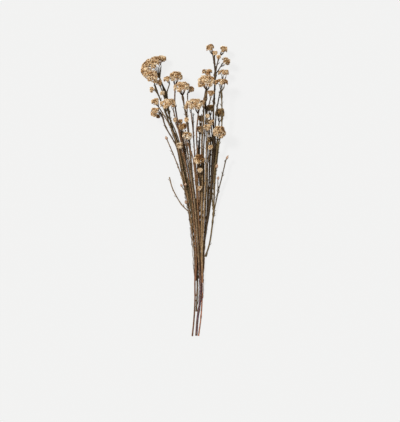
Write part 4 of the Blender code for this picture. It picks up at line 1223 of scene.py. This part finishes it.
def buildStem(layout, stem, scar, leaves, materials):
    bm = newShape()
    draw = random.Random(stem + " bark")
    dressing = []
    for run in stems[stem]:
        points = runPoints(layout, stem, run)
        radii = runRadii(layout, stem, run, points)
        sides = wood["mainSides"] if run == "main" else wood["sideSides"]
        first = growTube(
            bm, points, radii, sides, 0, draw.uniform(*wood["tubeStart"]), draw.uniform(*wood["tone"])
        )
        dressing.append((points, radii))
        if run == "main":
            bmesh.ops.inset_individual(bm, faces=first, thickness=wood["rim"] * radii[0] * mm, depth=0.0)
            for face in first:
                face.material_index = 1
            if stem != twigs["lone"]:
                dressing += growTwigs(bm, points, radii, draw)
    growStalks(bm, layout, stem)
    roughen(bm)
    darkenKnots(bm, layout, stem)
    for points, radii in dressing:
        dressRun(bm, points, radii, scar, leaves, draw)
    for owner, run, share, lean, length in stubs:
        if owner == stem:
            ids = layout.rings[stem, run]
            k = int(share * (len(ids) - 1))
            root = layout.points[ids[k]]
            way = layout.points[ids[k + 1]] - root
            way /= np.linalg.norm(way)
            turn = math.radians(lean)
            out = np.array([math.cos(turn), math.sin(turn), stubRise])
            growLeaf(bm, root + out * stubSeat, out, way, length, stubRadius, draw)
    finishPiece(bm, stem, materials, 50)


# Florets: two whorls of papery bracts round an eye of tiny disc florets, wide open, half open or still shut.
florets = {
    "size": 1.5,
    "sizeSpread": (0.85, 1.2),
    "variants": 4,
    "shades": 6,
    "kinds": {"open": 0.34, "half": 0.40, "shut": 0.26},
    "cover": 0.58,  # how close florets stand on their tuft
    "packed": 2.5,  # how many there would be to a square of their size if they stood side by side
    "fewest": 4,
    "cap": 98.0,  # how far round its tuft they go, in degrees
    "first": 0.35,  # how far the first one is from the middle, in steps of the spiral
    "astray": (-0.12, 0.12),  # from their places on the spiral
    "sunk": 0.42,  # into the tuft, in shares of their size
    "sunkSpread": (0.8, 1.5),
    "outward": 0.25,  # how much they turn towards the way that the tuft faces
    "fresh": (0.4, 0.95),  # how pale a tuft is on the whole
    "freshSpread": (-0.45, 0.4),  # and how much paler one of its florets
    "paintedSideShade": 0.25,  # painted shade: how much darker they are at this tilt, in radians, than in the middle of the tuft
    "sideTilt": 1.7,
    "tallSpread": (0.9, 1.15),
    "tips": 5,
    # What a rim's wave does at the tips of the bracts, with its unevenness.
    "tipRise": 0.6,
    "riseSpread": (-0.8, 0.8),
    "tipReach": 1.3,
    "reachSpread": (-0.5, 0.5),
    "notchBrown": 0.2,
    "eyeRise": 0.12,
    "eyeBrown": 0.1,
    # Rings of each shape from its root up: radius, height, the zone of its colour, and the waves of its rim,
    # which are below zero where the tips of a whorl stand between those of the whorl below it.
    "open": (
        (0.15, -1.30, 0.0, 0), (0.78, -0.06, 0.50, 0.10), (0.60, -0.02, 0.30, 0),
        (1.08, 0.30, 0.80, -0.22), (0.44, 0.14, 0.62, 0.02), (0.28, 0.30, 0.92, 0),
    ),
    "half": (
        (0.15, -1.30, 0.0, 0), (0.90, 0.08, 0.66, 0.14), (0.60, 0.02, 0.28, 0),
        (0.72, 0.60, 0.80, -0.14), (0.44, 0.34, 0.64, 0), (0.24, 0.38, 0.94, 0),
    ),
    "shut": (
        (0.15, -1.25, 0.0, 0), (0.84, 0.00, 0.62, 0.12), (0.64, 0.00, 0.34, 0),
        (0.58, 0.60, 0.74, -0.09), (0.20, 0.92, 0.82, 0.03),
    ),
}


def floretTemplate(kind, seed, shadeValue, material):
    # A cup raised ring by ring, whose rim is cut into bract tips.
    bm = newShape()
    zone = bm.verts.layers.float["zone"]
    shade = bm.verts.layers.float["shade"]
    draw = random.Random(kind + str(seed))
    tips = florets["tips"]
    ring = bmesh.ops.create_circle(bm, cap_ends=True, segments=2 * tips, radius=1.0)["verts"]
    edges = edgesOf(ring)
    radiusNow = 1.0
    heightNow = 0.0
    for step, (radius, height, tone, wave) in enumerate(florets[kind]):
        if step:
            ring, edges = extrudeRing(bm, edges)
        bmesh.ops.scale(bm, vec=(radius / radiusNow, radius / radiusNow, 1.0), verts=ring)
        bmesh.ops.translate(bm, vec=(0, 0, height - heightNow), verts=ring)
        radiusNow = radius
        heightNow = height
        for vert in ring:
            vert[zone] = tone
            if wave:
                crest = math.copysign(1, wave) * math.cos(tips * math.atan2(vert.co.y, vert.co.x))
                rise = florets["tipRise"] * crest + draw.uniform(*florets["riseSpread"])
                reach = florets["tipReach"] * crest + draw.uniform(*florets["reachSpread"])
                vert.co.z += abs(wave) * rise
                vert.co.xy *= 1 + abs(wave) * reach
                vert[zone] -= florets["notchBrown"] * (1 - crest) / 2
    face = bmesh.ops.edgeloop_fill(bm, edges=edges)["faces"]
    for vert in bmesh.ops.poke(bm, faces=face, offset=florets["eyeRise"])["verts"]:
        vert[zone] = min(1.0, tone + florets["eyeBrown"])
    for vert in bm.verts:
        vert[shade] = shadeValue
    for face in bm.faces:
        face.material_index = material
    bmesh.ops.recalc_face_normals(bm, faces=bm.faces)
    return toMesh(bm, "floret")


def floretTemplates(material):
    # For each kind its variants, and for each of them its shades from browned to fresh.
    fresh = [step / (florets["shades"] - 1) for step in range(florets["shades"])]
    seeds = range(florets["variants"])
    return {
        kind: [[floretTemplate(kind, seed, share, material) for share in fresh] for seed in seeds]
        for kind in florets["kinds"]
    }


def addFloret(bm, spot, facing, fresh, room, pick, draw):
    # fresh, from 0 to 1, is how pale florets are here on the whole, and room is the box that holds them.
    # pick gives the templates for a place.
    (kind,) = draw.choices(list(florets["kinds"]), list(florets["kinds"].values()))
    fresh += draw.uniform(*florets["freshSpread"])
    step = round((florets["shades"] - 1) * min(1.0, max(0.0, fresh)))
    much = florets["size"] * draw.uniform(*florets["sizeSpread"])
    tall = much * draw.uniform(*florets["tallSpread"])
    spot = np.clip(spot, room[0] + much, room[1] - much)
    template = pick(spot)[kind][draw.randrange(florets["variants"])][step]
    addCopy(bm, template, standing(spot, facing, draw.uniform(*anyTurn), (much, much, tall)))


def growTuft(bm, centre, outward, radius, room, pick, draw):
    # Florets on a ball of this radius round the centre, on its outer side.
    size = florets["size"]
    cap = 1 - math.cos(math.radians(florets["cap"]))
    wanted = florets["packed"] * cap * (radius / size) ** 2 * florets["cover"]
    count = max(florets["fewest"], round(wanted))
    turned = Vector(outward).to_track_quat("Z", "Y")
    fresh = draw.uniform(*florets["fresh"])
    roll = draw.uniform(*anyTurn)
    for k in range(count):
        tilt = math.acos(1 - cap * (k + florets["first"]) / count)
        turn = roll + k * golden
        local = Vector((math.sin(tilt) * math.cos(turn), math.sin(tilt) * math.sin(turn), math.cos(tilt)))
        local += Vector([draw.uniform(*florets["astray"]) for _ in range(3)])
        direction = turned @ local.normalized()
        sunk = florets["sunk"] * size * draw.uniform(*florets["sunkSpread"])
        spot = Vector(centre) + direction * (radius - sunk)
        facing = (direction + Vector(outward) * florets["outward"]).normalized()
        # Painted shade: florets darker towards the sides of their tuft.
        sideShade = florets["paintedSideShade"] * tilt / florets["sideTilt"]
        addFloret(bm, spot, facing, fresh - sideShade, room, pick, draw)


# Heads: tufts of florets on thin stalks that branch from the tips of the stem's own stalks.
headLook = {
    "stalk": (0.62, 0.42),
    "stalkSides": 5,
    "elbow": (0.45, 0.12),  # where a stalk bends, and how far upwards, as shares of its length
    "lowestTip": -1.0,  # of a stalk that meets the head, from its underside
    # The core of larger heads is a dark filler: painted shade inside them.
    "coreFrom": 18,  # width of the head
    "coreShare": (0.5, 0.5, 0.42),
    "coreMiddle": 0.52,  # of the head's height
    "gapSpacing": 3.4,  # of the florets that fill the gaps between tufts
    "gapShare": 1.3,  # how many to a square of that
    "gapExtra": 4,
    "gapFlat": 0.4,  # the least height of the dome that they stand square to, against its half width
    # how pale they are: darker on the whole than the tufts, as painted shade deep between them
    "gapFreshShaded": (0.1, 0.8),
    "gapDepth": 0.35,  # how far below the top of the tufts they stand, as a share of the tufts' radius
    "gapWidth": 0.86,  # the least way from there to the middle of a tuft, as a share of its radius
    "husk": 0.62,  # the dark middle of a tuft, where its florets join, as a share of its radius; its darkness is painted shade
    "huskDepth": 0.1,  # how far below the middle of the tuft it is
    # Browned heads that stayed pale on one side: the way to it in plan, and how far off the middle it begins.
    "paleSide": {
        "head_22": ((-0.95, -0.3), 4.0), "head_20": ((0.6, -0.8), 2.0), "head_16": ((-0.7, 0.7), 4.0),
        "head_36": ((-0.5, 0.85), 5.0), "head_37": ((-0.8, 0.6), 6.0),
    },
}


def gapPlaces(name):
    # Evenly spread places on a head's dome, with the way out from each.
    shape = domeShape(name)
    wide, deep, tall, _, _ = shape
    tilts, areas = domeAreas(shape)
    places = []
    count = round(headLook["gapShare"] * areas[-1] / headLook["gapSpacing"] ** 2) + headLook["gapExtra"]
    for k in range(count):
        tilt = np.interp((k + 0.5) / count * areas[-1], areas, tilts)
        turn = k * golden
        flat = math.sin(tilt) / wide
        rise = math.cos(tilt) / max(tall, headLook["gapFlat"] * wide)
        outward = np.array([flat * math.cos(turn), flat * math.sin(turn), rise])
        places.append((domePoint(shape, tilt, turn), outward / np.linalg.norm(outward)))
    return places


def headTips(layout, name, base, along):
    # Where the stem's stalks or its run meet this head.
    ends = [ids[-1] for ids in layout.rings.values()]
    ends += [ids[-1] for stalks in layout.stalks.values() for ids in stalks]
    tips = [layout.points[k] for k in ends if layout.group[k] == name]
    return [tip for tip in tips if (tip - base).dot(along) > headLook["lowestTip"]]


def buildHead(layout, name, templates, paleTemplates, materials):
    _, size, facing, lift, _ = heads[name]
    axes = frameOf(facing, lift)
    along = axes[2]
    base = layout.points[layout.seats[name]]
    wide, deep, tall, radius, _ = domeShape(name)
    draw = random.Random(name + " florets and stalks")
    bm = newShape()
    room = np.array(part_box(name)) / mm
    tips = headTips(layout, name, base, along)
    away, begin = headLook["paleSide"].get(name, ((0, 0), 1.0))

    def pick(spot):
        return paleTemplates if (np.array(spot)[:2] - room.mean(axis=0)[:2]).dot(away) > begin else templates

    centres = []
    for place, outward, ball in floretPlaces(name):
        centre = placeOn(base, axes, place)
        direction = placeOn(0, axes, outward)
        centres.append(centre)
        tip = min(tips, key=lambda spot: math.dist(spot, centre))
        bend, rise = headLook["elbow"]
        elbow = tip + (centre - tip) * bend + along * rise * math.dist(tip, centre)
        points = smoothRoute([tip, elbow, centre], stalks["step"], ())
        growTube(bm, points, np.linspace(*headLook["stalk"], len(points)), headLook["stalkSides"], 1, 0.0)
        # A dark husk in each tuft: painted shade among its florets.
        husk = Matrix.Translation(Vector(centre - direction * headLook["huskDepth"] * ball) * mm)
        wideness = headLook["husk"] * ball * mm
        made = bmesh.ops.create_uvsphere(bm, u_segments=8, v_segments=5, radius=wideness, matrix=husk)
        for face in facesOf(made["verts"]):
            face.material_index = 2
        growTuft(bm, centre, direction, ball, room, pick, draw)
    centres = np.array(centres)
    for place, outward in gapPlaces(name):
        direction = placeOn(0, axes, outward)
        spot = placeOn(base, axes, place) + direction * radius * (1 - headLook["gapDepth"])
        if np.linalg.norm(centres - spot, axis=1).min() > headLook["gapWidth"] * radius:
            fresh = draw.uniform(*headLook["gapFreshShaded"])
            addFloret(bm, spot - direction, Vector(direction), fresh, room, pick, draw)
    # A dark core: painted shade inside the larger heads.
    if size[0] >= headLook["coreFrom"]:
        core = bmesh.ops.create_icosphere(bm, subdivisions=2, radius=1.0)["verts"]
        turned = Matrix(np.column_stack(axes).tolist()).to_4x4()
        half = zip((wide, deep, (tall + radius) * 0.5), headLook["coreShare"])
        scaled = Matrix.Diagonal((*(much * share * mm for much, share in half), 1))
        middle = Vector(base + along * (tall + radius) * headLook["coreMiddle"]) * mm
        bmesh.ops.transform(bm, matrix=Matrix.Translation(middle) @ turned @ scaled, verts=core)
        for face in facesOf(core):
            face.material_index = 2
    finishPiece(bm, name, materials, 65)


# Buds: overlapping bracts round a plump middle.
budLook = {
    "tiers": ((0.02, 5, 0.62), (0.22, 6, 0.60), (0.45, 5, 0.52)),  # height, bracts, and their length
    "thickness": 0.10,
    "turn": (-0.1, 0.1),  # unevenness of a bract's place
    "width": (1.15, 0.9),  # at its root, against its share of the tier, and how much less at its tip
    "out": 0.92,  # as a share of the bud's half width
    "flare": 0.10,
    "lap": 0.04,  # how far one tier is outside the next
    "zone": (0.25, 0.5),  # at its root, and how much more at its tip
    "shade": (0.6, 0.2),  # of the darkest, and how much more the next
    "middle": 0.42,  # the radius, as a share of the bud's width
    "middleTop": 0.96,
    "middleRings": 7,
    "middleSides": 10,
    "middleZone": (0.1, 0.5),
    "middleShade": 0.7,
}


def budProfile(share):
    # The bud's half width at this share of its height, against the widest.
    return 0.30 + 0.70 * math.sin(math.pi * min(1.0, share * 1.08 + 0.12)) ** 0.8 if share < 0.97 else 0.12


def buildBud(layout, name, materials):
    _, (length, width), facing, lift = buds[name]
    across, over, along = frameOf(facing, lift)
    seat = layout.points[layout.seats[name]]
    bm = newShape()
    zone = bm.verts.layers.float["zone"]
    shade = bm.verts.layers.float["shade"]
    draw = random.Random(name + " bracts")
    shares = np.linspace(0, budLook["middleTop"], budLook["middleRings"])
    points = np.array([seat + along * length * share for share in shares])
    radii = [budProfile(share) * width * budLook["middle"] for share in shares]
    growTube(bm, points, radii, budLook["middleSides"], 0, 0.0)
    for vert in bm.verts:
        share = (np.array(vert.co) / mm - seat).dot(along) / length
        vert[zone] = budLook["middleZone"][0] + budLook["middleZone"][1] * share
        vert[shade] = budLook["middleShade"]
    wide, narrowing = budLook["width"]
    for tier, (low, count, reach) in enumerate(budLook["tiers"]):
        for k in range(count):
            turn = (k + 0.5 * tier) * 2 * math.pi / count + draw.uniform(*budLook["turn"])
            made = bmesh.ops.create_grid(bm, x_segments=2, y_segments=4, size=1.0)["verts"]
            for vert in made:
                u, v = vert.co.x, (vert.co.y + 1) / 2
                share = low + reach * v
                bend = turn + u * (wide - narrowing * v**2) * math.pi / count
                out = budProfile(min(budLook["middleTop"], share)) * width / 2 * budLook["out"]
                out += budLook["flare"] * v**3 + budLook["lap"] * (2 - tier)
                spot = seat + along * length * share + (across * math.cos(bend) + over * math.sin(bend)) * out
                vert.co = Vector(spot) * mm
                vert[zone] = budLook["zone"][0] + budLook["zone"][1] * v
                vert[shade] = budLook["shade"][0] + budLook["shade"][1] * (k % 3)
            bmesh.ops.solidify(bm, geom=facesOf(made), thickness=budLook["thickness"] * mm)
    finishPiece(bm, name, materials, 45)


# Floor, light and camera.
stage = {
    "floor": "#484847",
    "glow": 0.815,  # of light that comes up through the floor
    "floorSize": 40.0,
    "ambient": 0.42,
    "key": {"from": (-0.75, 0.55, 1.25), "spread": 14.0, "power": 2.74},
    "lens": 180.0,
    "sensor": 36.0,
    "middle": (28.0, -40.0, 20.0),  # what the camera looks at
    "height": 844.0,  # of what it sees there
}


def buildStage():
    bm = bmesh.new()
    bmesh.ops.create_grid(bm, x_segments=1, y_segments=1, size=stage["floorSize"] / 2)
    mesh = toMesh(bm, "floor")
    # Opal acrylic, softly lit from below: pale and even, with hardly a shadow on it, also between the stems.
    material, shader = newMaterial("opal acrylic", 0.9, 1.45)
    shader.inputs["Base Color"].default_value = colour(stage["floor"])
    shader.inputs["Specular IOR Level"].default_value = 0.1
    shader.inputs["Emission Color"].default_value = (1.0, 1.0, 0.995, 1.0)
    shader.inputs["Emission Strength"].default_value = stage["glow"]
    mesh.materials.append(material)
    floor = bpy.data.objects.new("floor", mesh)
    bpy.context.scene.collection.objects.link(floor)


def buildLight():
    # A pale surround, and one large lamp far off at the upper left, so that the floor is lit evenly.
    world = bpy.data.worlds.new("soft studio")
    world.use_nodes = True
    surround = world.node_tree.nodes["Background"].inputs
    surround["Color"].default_value = (1.0, 1.0, 1.0, 1.0)
    surround["Strength"].default_value = stage["ambient"]
    bpy.context.scene.world = world
    light = bpy.data.lights.new("key", "SUN")
    light.angle = math.radians(stage["key"]["spread"])
    light.energy = stage["key"]["power"]
    lamp = bpy.data.objects.new("key", light)
    lamp.location = stage["key"]["from"]
    lamp.rotation_euler = (-lamp.location).to_track_quat("-Z", "Y").to_euler()
    bpy.context.scene.collection.objects.link(lamp)
    bpy.context.scene.view_settings.view_transform = "Standard"  # hex colours show as they are written


def buildCamera():
    camera = bpy.data.cameras.new("camera")
    camera.lens = stage["lens"]
    camera.sensor_fit = "VERTICAL"
    camera.sensor_height = stage["sensor"]
    seen = bpy.data.objects.new("camera", camera)
    away = stage["height"] * stage["lens"] / stage["sensor"]
    middle = Vector(stage["middle"])
    seen.location = (middle + Vector((0, 0, away))) * mm
    bpy.context.scene.collection.objects.link(seen)
    bpy.context.scene.camera = seen


slots = {part["node"]: part["material_slot"] for part in frame["record"]["subparts"]}
buildStage()
buildLight()
buildCamera()
print("stage, light and camera are set")

layout = Layout()
layout.fill()
air = layout.settle(settleTurns)
print(f"the bunch has settled, with {air:.2f} mm between its pieces")

barkOf = {slot: barkMaterial(slot) for slot in barks}
bractOf = {tone: bractMaterial(tone) for tone in bracts}
cutWood = cutMaterial()
dryLeaf = dryMaterial("dried narrow leaf", "#4A3B26", "#7D6A48")
dryStalk = dryMaterial("dried flower stalk", "#6B5538", "#9C8560")
# The dark filler of husks and cores inside the heads: painted shade.
shadeFiller = dryMaterial("chaff inside a head", "#3E3120", "#6E5A3E")
scar = scarTemplate()
leaves = leafTemplates()
for stem in stems:
    buildStem(layout, stem, scar, leaves, [barkOf[slots[stem]], cutWood, dryLeaf])
print("stems are grown")

templates = floretTemplates(0)
paleTemplates = floretTemplates(3)
for name in heads:
    materials = [bractOf[heads[name][4]], dryStalk, shadeFiller]
    if name in headLook["paleSide"]:
        materials.append(bractOf["cream"])
    buildHead(layout, name, templates, paleTemplates, materials)
for mesh in [mesh for mesh in bpy.data.meshes if mesh.users == 0]:
    bpy.data.meshes.remove(mesh)
print("heads are in flower")

for name in buds:
    buildBud(layout, name, [bractOf["bud"]])
print("buds are set")
